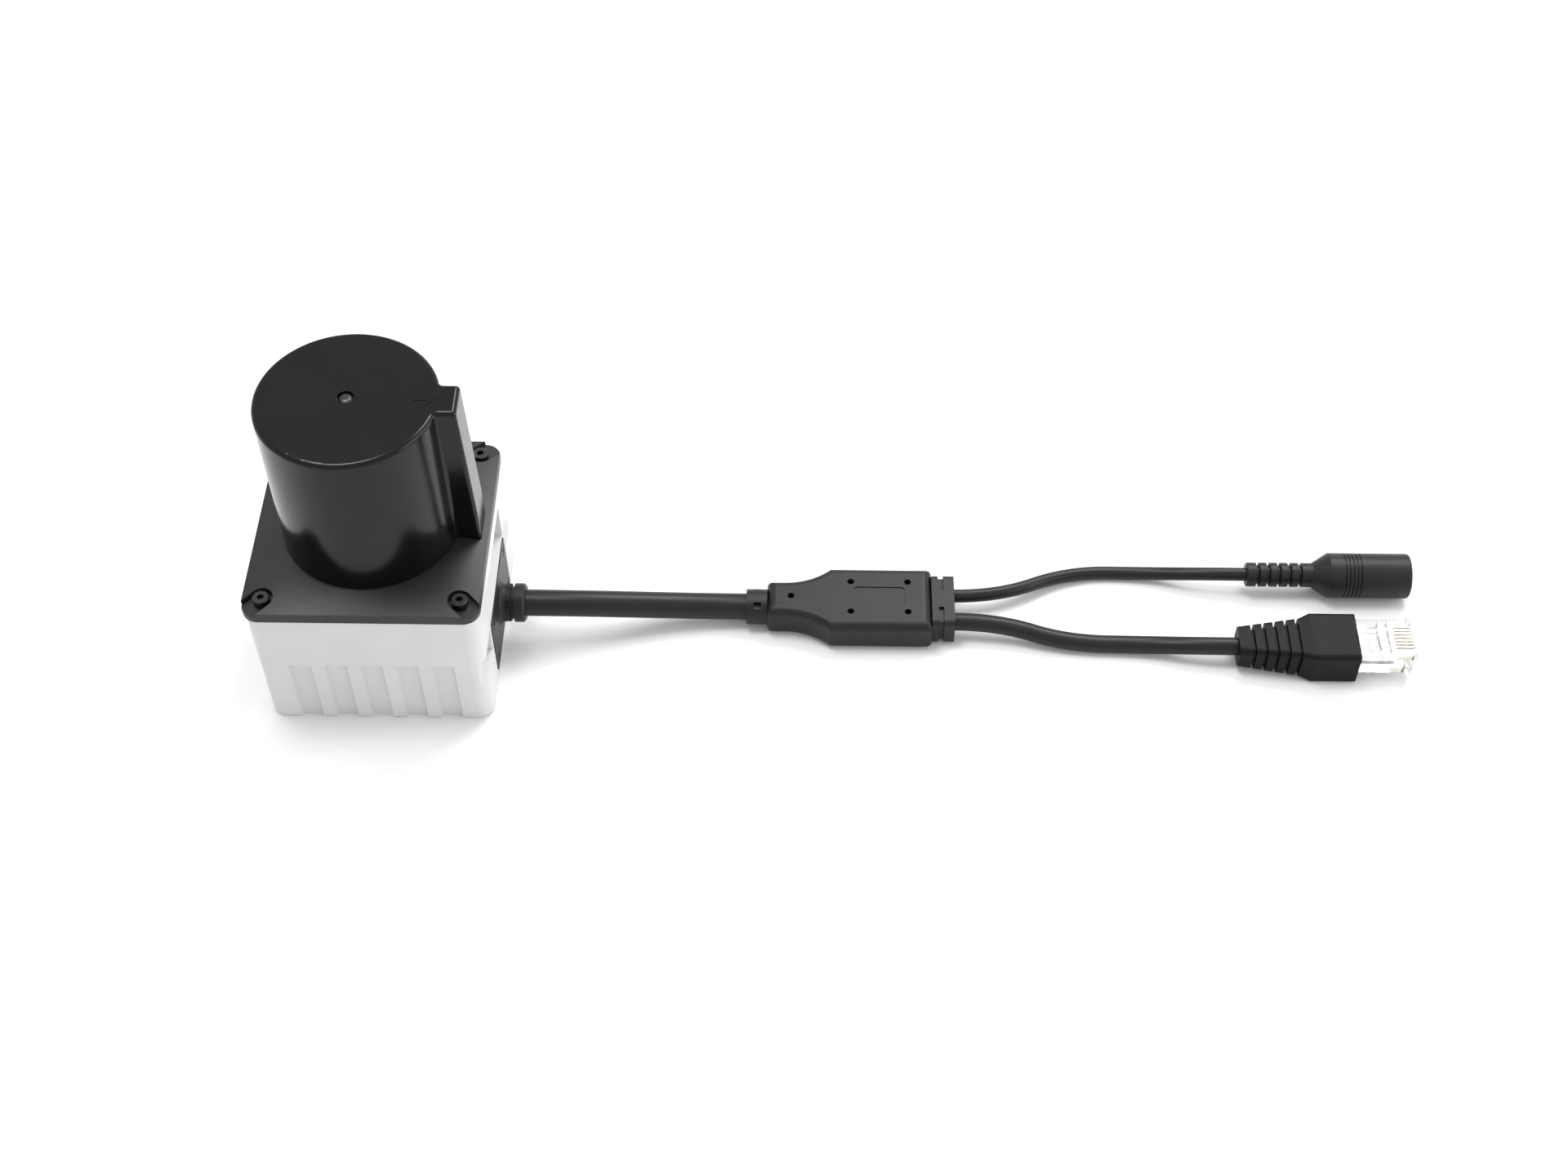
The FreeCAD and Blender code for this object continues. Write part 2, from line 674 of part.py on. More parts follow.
def side_grooves():
    """Upright cooling grooves on the front, the back and the side away from the cable."""
    grooves = []
    y = -BODY_HALF
    half = RIB_GROOVE_W / 2
    for i in range(RIB_GROOVES):
        x = (i - (RIB_GROOVES - 1) / 2) * RIB_PITCH
        outline = [(x - half, y, 0), (x + half, y, 0), (x + half - RIB_DRAFT, y + RIB_DEPTH, 0),
                   (x - half + RIB_DRAFT, y + RIB_DEPTH, 0)]
        groove = polygon(outline, (0, 0, RIB_H))
        for turn in (0, -90, 180):
            copy = groove.copy()
            copy.rotate(V(0, 0, 0), Z_AXIS, turn)
            grooves.append(copy)
    return grooves


def cable_side_cuts():
    """Flange pocket, hand recess, latch notches, cable hole and the flange's screw holes."""
    pocket = rounded_rect(FLANGE_W + 2 * GAP, FLANGE_H + 2 * GAP, FLANGE_R + GAP,
                          (FLANGE_SEAL_X0, 0, FLANGE_Z), "yz")
    cuts = [Part.Face(pocket).extrude(V(BODY_HALF + PAST - FLANGE_SEAL_X0, 0, 0))]
    half = RECESS_HALF_W
    cuts.append(box(BODY_HALF - RECESS_DEPTH, BODY_W, -half, half, RECESS_Z0, RECESS_Z1))
    for sign in (-1, 1):
        side = span(NOTCH_Y, BODY_W, sign)
        cuts.append(box(BODY_HALF - NOTCH_DEPTH, BODY_W, *side, NOTCH_Z0, NOTCH_Z1))
    cuts.append(rod(ENTRY_HOLE_R, (POST_LOW, 0, ENTRY_Z), BODY_W, X_AXIS))
    for y, z in flange_screw_places():
        start = (FLANGE_X0 - FLANGE_SCREW_L - GAP, y, z)
        cuts.append(rod(FLANGE_SCREW_R + THREAD_GAP, start, FLANGE_SCREW_L + PAST, X_AXIS))
    return cuts


def housing_holes():
    cuts = []
    for x, y in corners(COVER_SCREW_HALF_PITCH):
        cuts.append(rod(SCREW_R + THREAD_GAP, (x, y, BODY_H - SCREW_L), SCREW_L + PAST))
    for x, y in corners(MOUNT_HALF_PITCH):
        cuts.append(rod(MOUNT_HOLE_R, (x, y, -PAST), MOUNT_HOLE_DEPTH + PAST))
    for x, y in corners(DECK_SCREW_HALF_PITCH):
        cuts.append(rod(SCREW_R + THREAD_GAP, (x, y, DECK_Z - DECK_SCREW_L), DECK_SCREW_L + PAST))
    for x, y in standoff_places():
        start = BODY_FLOOR - STANDOFF_SPIGOT - GAP
        cuts.append(rod(STANDOFF_SPIGOT_R + THREAD_GAP, (x, y, start), STANDOFF_SPIGOT + PAST))
    cuts.append(cover_seal_ring(0))
    return cuts


def cover_seal_ring(slack):
    """Rectangular cord seal in the top face of the walls; slack narrows it in its groove."""
    outer_w = BODY_W - 2 * SEAL_INSET - 2 * slack
    inner_w = BODY_W - 2 * (SEAL_INSET + SEAL_W) + 2 * slack
    outer_r = BODY_R - SEAL_INSET
    outer = block(outer_w, outer_w, outer_r, BODY_H - SEAL_H, SEAL_H)
    return outer.cut(block(inner_w, inner_w, outer_r - SEAL_W, BODY_H - SEAL_H, SEAL_H))


# ---------------------------------------------------------------- cover plate
def make_top_cover():
    slab = block(COVER_W, COVER_W, COVER_R, BODY_H, COVER_EDGE_T)
    cover = slab.fuse(cover_rise())
    cover = cover.fuse(rod(COLLAR_R, (0, 0, SEAT_Z - PAST), COLLAR_H + PAST))
    low = BODY_H - PAST
    cuts = [rod(COVER_BORE_R, (0, 0, low), BODY_H)]
    groove_z = SEAT_Z + HOOD_SEAL_RISE
    cuts.append(ring(COLLAR_R + PAST, COLLAR_R - HOOD_SEAL_BITE, groove_z, HOOD_SEAL_H))
    for x, y in corners(COVER_SCREW_HALF_PITCH):
        cuts.append(screw_pocket(x, y))
        cuts.append(rod(SCREW_R + 2 * GAP, (x, y, low), BODY_H))
    for y in (-FRAME_SCREW_Y, FRAME_SCREW_Y):
        cuts.append(rod(HOOD_SCREW_R + GAP, (FRAME_SCREW_X, y, low), BODY_H))
        head_room = FRAME_SCREW_HEAD_H + 2 * FLEX_GAP / 3 + 2 * GAP
        cuts.append(rod(FRAME_SCREW_HEAD_R + HEAD_GAP, (FRAME_SCREW_X, y, low), head_room + PAST + GAP))
    half = FLEX_W / 2 + FLEX_GAP
    flex_x1 = FLEX_SLOT_X + FLEX_T + 2 * FLEX_GAP
    cuts.append(box(FLEX_SLOT_X, flex_x1, -half, half, low, SEAT_Z + PAST))
    return cover.cut(Part.makeCompound(cuts)).removeSplitter()


def cover_rise():
    """Low crown from the straight edges of the plate up to the round seat of the hood."""
    lower = rounded_rect(COVER_W, COVER_W, COVER_R, (0, 0, COVER_EDGE_Z))
    bend = math.degrees(math.atan2(COVER_W / 2 - COVER_R, COVER_W / 2))
    stops = []
    for quarter in range(4):
        stops += [quarter * 90 + bend, quarter * 90 + 90 - bend]
    edges = []
    for i, start in enumerate(stops):
        end = stops[(i + 1) % 8]
        end = end if end > start else end + 360
        angles = [math.radians(t) for t in (start, (start + end) / 2, end)]
        points = [V(SEAT_R * math.cos(t), SEAT_R * math.sin(t), SEAT_Z) for t in angles]
        edges.append(Part.Arc(*points).toShape())
    return Part.makeLoft([lower, Part.Wire(edges)], True, True)


def screw_pocket(x, y):
    """U-shaped pocket around a screw, open to the corner of the plate."""
    height = COVER_RISE + POCKET_DEPTH + PAST
    reach = COVER_W / 3
    channel = box(0, reach, -POCKET_R, POCKET_R, POCKET_Z, POCKET_Z + height)
    channel.rotate(V(0, 0, 0), Z_AXIS, math.degrees(math.atan2(y, x)))
    channel.translate(V(x, y, 0))
    return channel.fuse(rod(POCKET_R, (x, y, POCKET_Z), height))


def make_hood_seal():
    inner = COLLAR_R - HOOD_SEAL_BITE + GAP
    return ring(HOOD_BORE_R - GAP, inner, SEAT_Z + HOOD_SEAL_RISE + GAP, HOOD_SEAL_H - 2 * GAP)


def make_cover_screws():
    return [socket_screw(x, y, POCKET_Z, SCREW_L, SCREW_R, SCREW_HEAD_R, SCREW_HEAD_H, SCREW_HEX)
            for x, y in corners(COVER_SCREW_HALF_PITCH)]


# ---------------------------------------------------------------- window hood
def key_prism(half_w, inset, low, top):
    """The key as a prism across Y: upright at its foot, then leaning in to the top."""
    profile = [(0, low), (KEY_X_FOOT - inset, low), (KEY_X_FOOT - inset, KEY_BEND_Z),
               (KEY_X_TOP - inset, top), (0, top)]
    return polygon([(x, -half_w, z) for x, z in profile], (0, 2 * half_w, 0))


def tall_edges(shape, x_low, x_high):
    """Tall edges along the sides of the key, between two distances from the scan axis."""
    found = []
    for edge in shape.Edges:
        middle = edge.BoundBox.Center
        tall = edge.BoundBox.ZLength > KEY_UPRIGHT_H * 0.9
        on_side = abs(abs(middle.y) - KEY_HALF_W) < 0.01
        if tall and on_side and x_low < middle.x < x_high:
            found.append(edge)
    return found


def index_groove(ends):
    """Fine engraved line in the top of the hood; its ends are set out from the rim."""
    (x0, y0), (x1, y1) = [(HOOD_R + x, y) for x, y in ends]
    length = math.hypot(x1 - x0, y1 - y0)
    groove = box(0, length, -INDEX_W / 2, INDEX_W / 2, HOOD_TOP_Z - INDEX_DEPTH, HOOD_TOP_Z + PAST)
    groove.rotate(V(0, 0, 0), Z_AXIS, math.degrees(math.atan2(y1 - y0, x1 - x0)))
    groove.translate(V(x0, y0, 0))
    return groove


def make_window_hood(cover):
    low = BODY_H
    cup = rod(HOOD_R, (0, 0, low), HOOD_TOP_Z - low)
    outer = cup.fuse(key_prism(KEY_HALF_W, 0, low, HOOD_TOP_Z)).removeSplitter()
    middle = (HOOD_R + KEY_X_TOP) / 2
    outer = outer.makeFillet(KEY_BLEND_R, tall_edges(outer, 0, middle))
    outer = outer.makeFillet(KEY_EDGE_R, tall_edges(outer, middle, BODY_W))
    outer = outer.makeFillet(HOOD_EDGE_R, edges_at(outer, HOOD_TOP_Z))
    roof = HOOD_TOP_Z - HOOD_TOP_T
    hood = outer.cut(rod(HOOD_BORE_R, (0, 0, low - PAST), roof - low + PAST))
    hood = hood.cut(key_prism(KEY_HALF_W - KEY_WALL, HOOD_WALL, low - PAST, roof))
    hood = hood.cut(cover)
    hood = hood.cut(box(-BODY_W, BODY_W, -BODY_W, BODY_W, low - PAST, COVER_EDGE_Z))
    hood = hood.cut(rod(DIMPLE_R, (0, 0, HOOD_TOP_Z - DIMPLE_DEPTH), DIMPLE_DEPTH + PAST))
    hood = hood.cut(rod(HOOD_SCREW_R + GAP, (0, 0, roof - PAST), HOOD_TOP_T + 2 * PAST))
    for ends in (INDEX_LINE, INDEX_STROKE):
        hood = hood.cut(index_groove(ends))
    return biggest(hood)


def make_hood_screw():
    """Low button-head screw in the dimple at the middle of the hood."""
    seat = HOOD_TOP_Z - DIMPLE_DEPTH
    low = BRIDGE_Z0 + GAP
    head = [(0, HOOD_SCREW_HEAD_R), *HOOD_SCREW_PROFILE]
    shank = rod(HOOD_SCREW_R, (0, 0, low), seat - low)
    return [shank.fuse(turned(head, (0, 0, seat), Z_AXIS)).removeSplitter()]


# ---------------------------------------------------------------- cable entry
def flange_screw_places():
    return [(sy * FLANGE_SCREW_Y, FLANGE_Z + sz * FLANGE_SCREW_Z) for sy, sz in corners(1)]


def flange_plate(x0, x1):
    """Plate across the cable side with the cable's hole and the four screw holes."""
    wire = rounded_rect(FLANGE_W, FLANGE_H, FLANGE_R, (x0, 0, FLANGE_Z), "yz")
    plate = Part.Face(wire).extrude(V(x1 - x0, 0, 0))
    through = x1 - x0 + 2 * PAST
    cuts = [rod(RELIEF_ROOT_R + GAP, (x0 - PAST, 0, ENTRY_Z), through, X_AXIS)]
    for y, z in flange_screw_places():
        cuts.append(rod(FLANGE_SCREW_R + GAP, (x0 - PAST, y, z), through, X_AXIS))
    return plate.cut(Part.makeCompound(cuts))


def make_cable_flange():
    plate = flange_plate(FLANGE_X0, FLANGE_X1)
    sink = FLANGE_X1 - FLANGE_SCREW_SINK
    heads = [rod(FLANGE_SCREW_HEAD_R + 2 * GAP, (sink, y, z), FLANGE_SCREW_SINK + PAST, X_AXIS)
             for y, z in flange_screw_places()]
    return plate.cut(Part.makeCompound(heads))


def make_flange_screws():
    screws = []
    sink = FLANGE_X1 - FLANGE_SCREW_SINK
    tip = FLANGE_X0 - FLANGE_SCREW_L
    for y, z in flange_screw_places():
        shank = rod(FLANGE_SCREW_R, (tip, y, z), sink - tip, X_AXIS)
        head = rod(FLANGE_SCREW_HEAD_R, (sink, y, z), FLANGE_SCREW_HEAD_H, X_AXIS)
        socket_x = sink + FLANGE_SCREW_HEAD_H / 2
        socket = rod(FLANGE_SCREW_SOCKET_R, (socket_x, y, z), FLANGE_SCREW_HEAD_H, X_AXIS)
        screws.append(shank.fuse(head).cut(socket).removeSplitter())
    return screws


def make_strain_relief():
    """Moulded cable outlet: flared foot, a groove with four side windows, and a collar."""
    neck = RELIEF_NECK_L
    deep = RELIEF_R - RELIEF_GROOVE_DEPTH
    proud = RELIEF_R + RELIEF_PROUD
    draft = RELIEF_GROOVE_DRAFT
    profile = [(0, RELIEF_R + RELIEF_FLARE)]
    for step in range(1, 7):
        t = math.radians(15 * step)
        out = RELIEF_FLARE * (1 - math.sin(t))
        profile.append((RELIEF_FLARE * (1 - math.cos(t)), RELIEF_R + out))
    profile += [(neck, RELIEF_R), (neck + draft, deep), (neck + RELIEF_GROOVE_W - draft, deep),
                (neck + RELIEF_GROOVE_W, proud), (RELIEF_L - RELIEF_EDGE, proud),
                (RELIEF_L, proud - RELIEF_EDGE)]
    body = turned(profile, (FLANGE_X1, 0, ENTRY_Z))
    root = rod(RELIEF_ROOT_R, (FLANGE_SEAL_X0, 0, ENTRY_Z), FLANGE_X1 - FLANGE_SEAL_X0, X_AXIS)
    relief = body.fuse(root)
    half = RELIEF_WINDOW_HALF_W
    for turn in (45, 135, 225, 315):
        x1 = RELIEF_GROOVE_X + draft
        window = box(x1 - RELIEF_WINDOW_L, x1, -half, half, deep, RELIEF_R + PAST)
        window.rotate(V(0, 0, 0), X_AXIS, turn)
        window.translate(V(0, 0, ENTRY_Z))
        relief = relief.cut(window)
    return relief.removeSplitter()


def make_inner_lead():
    """Bundle of the cable's wires, from its outlet to the board connector."""
    length = FLANGE_SEAL_X0 - INNER_LEAD_X0
    return rod(MAIN_D / 2 - JACKET_T, (INNER_LEAD_X0, 0, ENTRY_Z), length, X_AXIS)


# ---------------------------------------------------------------- electronics
def standoff_places():
    return [(sx * STANDOFF_X, sy * STANDOFF_Y) for sx, sy in corners(1)]


def make_main_board():
    half = BOARD_HALF
    board = box(-half, half, -half, half, BOARD_Z, BOARD_TOP_Z)
    for sx, sy in corners(1):
        notch = box(*span(BOARD_CORNER, BODY_W, sx), *span(BOARD_CORNER, BODY_W, sy), 0, BODY_H)
        board = board.cut(notch)
    for x, y in standoff_places():
        board = board.cut(rod(SCREW_R + GAP, (x, y, 0), BODY_H))
    return board


def make_board_chips():
    """Processor, network transformer, memory, regulator, capacitors and a row of resistors."""
    top = BOARD_TOP_Z
    chips = [box(-9, 3, -3, 9, top, top + 1.4), box(-10, 0, -15, -7, top, top + 3.2),
             box(5, 11, 2, 8, top, top + 1.0), box(4, 9, -9, -4, top, top + 1.2)]
    for x in (-11, -6, -1, 4):
        chips.append(rod(2.0, (x, 15.5, top), 4.6))
    for i in range(8):
        chips.append(box(2.6 + i * 1.4, 3.4 + i * 1.4, -14.2, -12.6, top, top + 0.6))
    return chips


def make_cable_header():
    """Board connector that takes the wires of the cable."""
    x1 = INNER_LEAD_X0 - GAP
    half = HEADER_HALF_W
    return box(x1 - HEADER_L, x1, -half, half, BOARD_TOP_Z, ENTRY_Z + HEADER_RISE)


def make_standoffs():
    posts = []
    for x, y in standoff_places():
        post = rod(STANDOFF_R, (x, y, BODY_FLOOR), BOARD_Z - BODY_FLOOR)
        post = post.fuse(rod(STANDOFF_SPIGOT_R, (x, y, BODY_FLOOR - STANDOFF_SPIGOT), STANDOFF_SPIGOT))
        bore = rod(SCREW_R + THREAD_GAP, (x, y, BODY_FLOOR + STANDOFF_FLOOR), BODY_H)
        posts.append(post.cut(bore).removeSplitter())
    return posts


def make_board_screws():
    length = BOARD_TOP_Z - BODY_FLOOR - 2 * STANDOFF_FLOOR
    return [socket_screw(x, y, BOARD_TOP_Z, length, SCREW_R, BOARD_SCREW_HEAD_R,
                         BOARD_SCREW_HEAD_H, SMALL_HEX) for x, y in standoff_places()]


# ---------------------------------------------------------------- motor
def make_motor_mount():
    """Deck on the corner posts, with the tube that holds both bearings."""
    half = DECK_HALF
    deck = box(-half, half, -half, half, DECK_Z, DECK_TOP_Z)
    edge = POST_HIGH - POST_GAP_DECK
    for sx, sy in corners(1):
        deck = deck.cut(box(*span(edge, BODY_W, sx), *span(edge, BODY_W, sy), 0, BODY_H))
    mount = deck.fuse(rod(TUBE_R, (0, 0, TUBE_Z0), TUBE_H))
    below = TUBE_Z0 - PAST
    bore = BEARING_R + THREAD_GAP
    cuts = [rod(BEARING_R - BEARING_SHOULDER, (0, 0, below), TUBE_H + 2 * PAST)]
    cuts.append(rod(bore, (0, 0, below), BEARING_LOW_Z + BEARING_W - below))
    cuts.append(rod(bore, (0, 0, BEARING_HIGH_Z), BODY_H))
    for x, y in corners(DECK_SCREW_HALF_PITCH):
        cuts.append(rod(SCREW_R + GAP, (x, y, 0), BODY_H))
    for x in (-LEAD_SLOT_X, LEAD_SLOT_X):
        cuts.append(box(x - LEAD_SLOT_HALF_L, x + LEAD_SLOT_HALF_L, -LEAD_SLOT_HALF_W,
                        LEAD_SLOT_HALF_W, DECK_Z - PAST, DECK_TOP_Z + PAST))
    return mount.cut(Part.makeCompound(cuts)).removeSplitter()


def make_deck_screws():
    length = DECK_SCREW_L + DECK_T - 2 * THREAD_GAP
    return [socket_screw(x, y, DECK_TOP_Z, length, SCREW_R, SCREW_HEAD_R, DECK_SCREW_HEAD_H,
                         SMALL_HEX) for x, y in corners(DECK_SCREW_HALF_PITCH)]


def make_bearing(z0):
    """Small ball bearing: outer ring, shields and inner ring as one closed unit."""
    body = ring(BEARING_R, SHAFT_R + RUN_GAP, z0, BEARING_W)
    outer = BEARING_R - BEARING_SHIELD
    inner = SHAFT_R + BEARING_SHIELD
    for z in (z0 - PAST, z0 + BEARING_W - BEARING_RECESS):
        body = body.cut(ring(outer, inner, z, PAST + BEARING_RECESS))
    return body


def make_stator_core():
    shoe = ring(STATOR_R, STATOR_R - TOOTH_SHOE_T, STATOR_Z, STATOR_H)
    shoe = shoe.common(sector(STATOR_R, TOOTH_SHOE_DEG, STATOR_Z, STATOR_H))
    half = TOOTH_W / 2
    tooth = box(TUBE_R + BITE, STATOR_R - TOOTH_SHOE_T / 2, -half, half, STATOR_Z, STATOR_Z + STATOR_H)
    pieces = [ring(STATOR_YOKE_R, TUBE_R + THREAD_GAP, STATOR_Z, STATOR_H)]
    pieces += around(tooth.fuse(shoe), STATOR_TEETH)
    return fused(pieces).cut(rod(TUBE_R + THREAD_GAP, (0, 0, 0), BODY_H))


def make_stator_coils():
    inner = STATOR_YOKE_R + COIL_ROOT_GAP
    outer = STATOR_R - TOOTH_SHOE_T - COIL_SHOE_GAP
    low = STATOR_Z - COIL_OVER
    high = STATOR_Z + STATOR_H + COIL_OVER
    coil = box(inner, outer, -COIL_W / 2, COIL_W / 2, low, high)
    coil = coil.makeFillet(COIL_EDGE_R, [e for e in coil.Edges if e.BoundBox.XLength > 1])
    slot = TOOTH_W / 2 + GAP
    coil = coil.cut(box(0, BODY_W, -slot, slot, STATOR_Z - GAP, STATOR_Z + STATOR_H + GAP))
    return around(coil, STATOR_TEETH)


def make_rotor_bell():
    """Steel cup that carries the magnets inside and the encoder disc on a ledge outside."""
    bell = rod(BELL_R, (0, 0, BELL_Z0), BELL_H)
    room = BELL_H - BELL_TOP_T
    bell = bell.cut(rod(BELL_R - BELL_WALL, (0, 0, BELL_Z0 - PAST), room + PAST))
    bell = bell.fuse(ring(LEDGE_R, BELL_R - BITE, BELL_Z0, LEDGE_T))
    bell = bell.fuse(rod(BELL_HUB_R, (0, 0, BELL_Z1 - BELL_HUB_H), BELL_HUB_H))
    hole = rod(BELL_HOLE_R, (BELL_HOLE_CIRCLE, 0, BELL_Z1 - BELL_TOP_T - PAST), BELL_TOP_T + 2 * PAST)
    holes = around(hole, BELL_HOLES)
    bell = bell.cut(Part.makeCompound(holes + carrier_screw_holes()))
    return bell.cut(rod(SHAFT_R + THREAD_GAP, (0, 0, 0), BODY_H)).removeSplitter()


def make_rotor_magnets():
    outer = BELL_R - BELL_WALL - GAP
    arc = ring(outer, outer - MAGNET_T, MAGNET_Z0, MAGNET_H)
    wedge = sector(BELL_R, 360.0 / MAGNET_COUNT * MAGNET_FILL, MAGNET_Z0, MAGNET_H)
    return around(arc.common(wedge), MAGNET_COUNT)


def make_rotor_shaft():
    shaft = rod(SHAFT_R, (0, 0, SHAFT_Z0), SHAFT_L)
    return shaft.makeChamfer(SHAFT_EDGE, edges_at(shaft, SHAFT_Z0) + edges_at(shaft, SHAFT_Z1))


def make_encoder_disc():
    disc = ring(ENCODER_R, BELL_R + GAP, ENCODER_Z, ENCODER_T)
    half = ENCODER_SLOT_W / 2
    slot = box(LEDGE_R + ENCODER_SLOT_IN, ENCODER_R - ENCODER_RIM, -half, half,
               ENCODER_Z - PAST, ENCODER_Z + PAST)
    return disc.cut(Part.makeCompound(around(slot, ENCODER_SLOTS)[1:]))


def make_encoder_sensor():
    """Fork light gate around the rim of the encoder disc."""
    far = ENCODER_R + SENSOR_BACK
    half = SENSOR_HALF_W
    fork = box(-far, -LEDGE_R, -half, half, DECK_TOP_Z, DECK_TOP_Z + SENSOR_H)
    middle = ENCODER_Z + ENCODER_T / 2
    back = -far + SENSOR_BACK_T
    gap = box(back, 0, -BODY_W, BODY_W, middle - SENSOR_GAP / 2, middle + SENSOR_GAP / 2)
    under = box(back, 0, -BODY_W, BODY_W, DECK_Z, middle)
    return fork.cut(gap).cut(rod(LEDGE_R + SENSOR_RUN_GAP, (0, 0, 0), BODY_H)).cut(under)


# ---------------------------------------------------------------- spinning mirror
def mirror_slab(below, above):
    """Slab along the mirror's face, which leans 45 degrees and looks up and away from the cable."""
    size = BODY_W
    slab = box(-size, size, -size, size, -below, above)
    slab.rotate(V(0, 0, 0), Y_AXIS, -45)
    slab.translate(V(0, 0, MIRROR_Z))
    return slab


def carrier_screw_holes():
    low = BELL_Z1 - BELL_TOP_T - PAST
    high = BELL_Z1 + CARRIER_FLANGE_T + PAST
    hole = rod(CARRIER_SCREW_R + THREAD_GAP, (CARRIER_SCREW_CIRCLE, 0, low), high - low)
    return around(hole, CARRIER_SCREWS)


def make_mirror_carrier():
    """Round post cut off at 45 degrees, hollowed from the side that the mirror faces away from."""
    base = rod(CARRIER_FLANGE_R, (0, 0, BELL_Z1), CARRIER_FLANGE_T)
    post = rod(CARRIER_R, (0, 0, BELL_Z1), MIRROR_Z - BELL_Z1 + CARRIER_R)
    carrier = base.fuse(post.common(mirror_slab(BODY_W, 0)))
    low = BELL_Z1 + CARRIER_FLANGE_T + CARRIER_FLOOR
    hollow = box(CARRIER_HOLLOW_X, BODY_W, -BODY_W, BODY_W, low, MIRROR_Z - CARRIER_FLOOR)
    carrier = carrier.cut(hollow.common(rod(CARRIER_R - CARRIER_WALL, (0, 0, 0), 2 * BODY_H)))
    cuts = carrier_screw_holes() + [rod(SHAFT_R + THREAD_GAP, (0, 0, 0), SHAFT_Z1 + CARRIER_SHAFT_GAP)]
    return carrier.cut(Part.makeCompound(cuts)).removeSplitter()


def make_scan_mirror():
    return rod(CARRIER_R, (0, 0, BELL_Z1), BODY_W).common(mirror_slab(0, MIRROR_T))


def make_carrier_screws():
    screw = socket_screw(CARRIER_SCREW_CIRCLE, 0, BELL_Z1 + CARRIER_FLANGE_T,
                         CARRIER_FLANGE_T + BELL_TOP_T, CARRIER_SCREW_R, CARRIER_SCREW_HEAD_R,
                         CARRIER_SCREW_HEAD_H, CARRIER_SCREW_HEX)
    return around(screw, CARRIER_SCREWS)


# ---------------------------------------------------------------- fixed optics
def make_optics_frame():
    """Receiver barrel on a spine that stands in the key of the hood, with a bridge under the roof."""
    half = SPINE_HALF_W
    spine_x1 = SPINE_X0 + SPINE_T
    foot = box(SPINE_X0, FOOT_X1, -half, half, SEAT_Z, SEAT_Z + FOOT_H)
    slot = FLEX_W / 2 + FLEX_GAP
    foot = foot.cut(box(FLEX_SLOT_X, FOOT_X1 + PAST, -slot, slot, 0, HOOD_TOP_Z))
    spine = box(SPINE_X0, spine_x1, -half, half, SEAT_Z, BRIDGE_Z1)
    bridge = box(-BRIDGE_TAIL, spine_x1, -half, half, BRIDGE_Z0, BRIDGE_Z1)
    barrel = rod(BARREL_R, (0, 0, BARREL_Z0), BARREL_H)
    web = box(BARREL_R - BARREL_WALL, SPINE_X0 + BITE, -half, half, BARREL_Z0, BARREL_Z1)
    frame = fused([foot, spine, bridge, barrel, web])
    cuts = [rod(BARREL_BORE_R, (0, 0, BARREL_Z0 - PAST), BARREL_H + 2 * PAST)]
    cuts.append(rod(HOOD_SCREW_R + THREAD_GAP, (0, 0, BRIDGE_Z0 - PAST), BRIDGE_T + 2 * PAST))
    for y in (-FRAME_SCREW_Y, FRAME_SCREW_Y):
        cuts.append(rod(HOOD_SCREW_R + THREAD_GAP, (FRAME_SCREW_X, y, SEAT_Z - PAST), FOOT_H))
    frame = frame.cut(Part.makeCompound(cuts))
    ledge = ring(BARREL_BORE_R + BARREL_STEP, LENS_R - LEDGE_BITE, LENS_Z0 - LENS_LEDGE_T, LENS_LEDGE_T)
    return frame.fuse(ledge).removeSplitter()


def make_frame_screws():
    screws = []
    top = SEAT_Z + FOOT_H - FRAME_SCREW_END_GAP
    head_z = BODY_H + 2 * FLEX_GAP / 3
    for y in (-FRAME_SCREW_Y, FRAME_SCREW_Y):
        shank = rod(HOOD_SCREW_R, (FRAME_SCREW_X, y, head_z), top - head_z)
        head = rod(FRAME_SCREW_HEAD_R, (FRAME_SCREW_X, y, head_z), FRAME_SCREW_HEAD_H)
        socket = rod(FRAME_SCREW_SOCKET_R, (FRAME_SCREW_X, y, head_z - PAST), PAST + FRAME_SCREW_SOCKET_H)
        screws.append(shank.fuse(head).cut(socket).removeSplitter())
    return screws


def make_receiver_lens():
    """Plano-convex lens with a hole for the emitter tube; its dome looks down at the mirror."""
    dome_h = LENS_T - LENS_RIM_T
    dome_r = (LENS_R ** 2 + dome_h ** 2) / (2 * dome_h)
    disc = rod(LENS_R, (0, 0, LENS_Z0), LENS_T)
    ball = Part.makeSphere(dome_r, V(0, 0, LENS_Z0 + dome_r))
    rim = rod(LENS_R, (0, 0, LENS_Z0 + dome_h), LENS_RIM_T)
    lens = disc.common(ball.fuse(rim))
    return lens.cut(rod(LENS_BORE_R, (0, 0, 0), 2 * HOOD_TOP_Z)).removeSplitter()


def make_lens_ring():
    inner = LENS_R - 2 * LEDGE_BITE
    return ring(BARREL_BORE_R - GAP, inner, LENS_Z0 + LENS_T, LENS_RING_H)


def make_emitter_tube():
    """Laser diode and collimator in a tube that hangs from the detector board through the lens."""
    tube = rod(EMITTER_R, (0, 0, EMITTER_Z0), BARREL_Z1 - EMITTER_Z0)
    bore = EMITTER_R - EMITTER_WALL
    tube = tube.cut(rod(bore, (0, 0, EMITTER_Z0 - PAST), PAST + EMITTER_BORE_L))
    return tube.fuse(rod(bore, (0, 0, EMITTER_Z0 + EMITTER_GLASS_IN), EMITTER_GLASS_T)).removeSplitter()


def make_detector_board():
    return rod(BARREL_R - DETECTOR_BOARD_IN, (0, 0, BARREL_Z1), DETECTOR_BOARD_T)


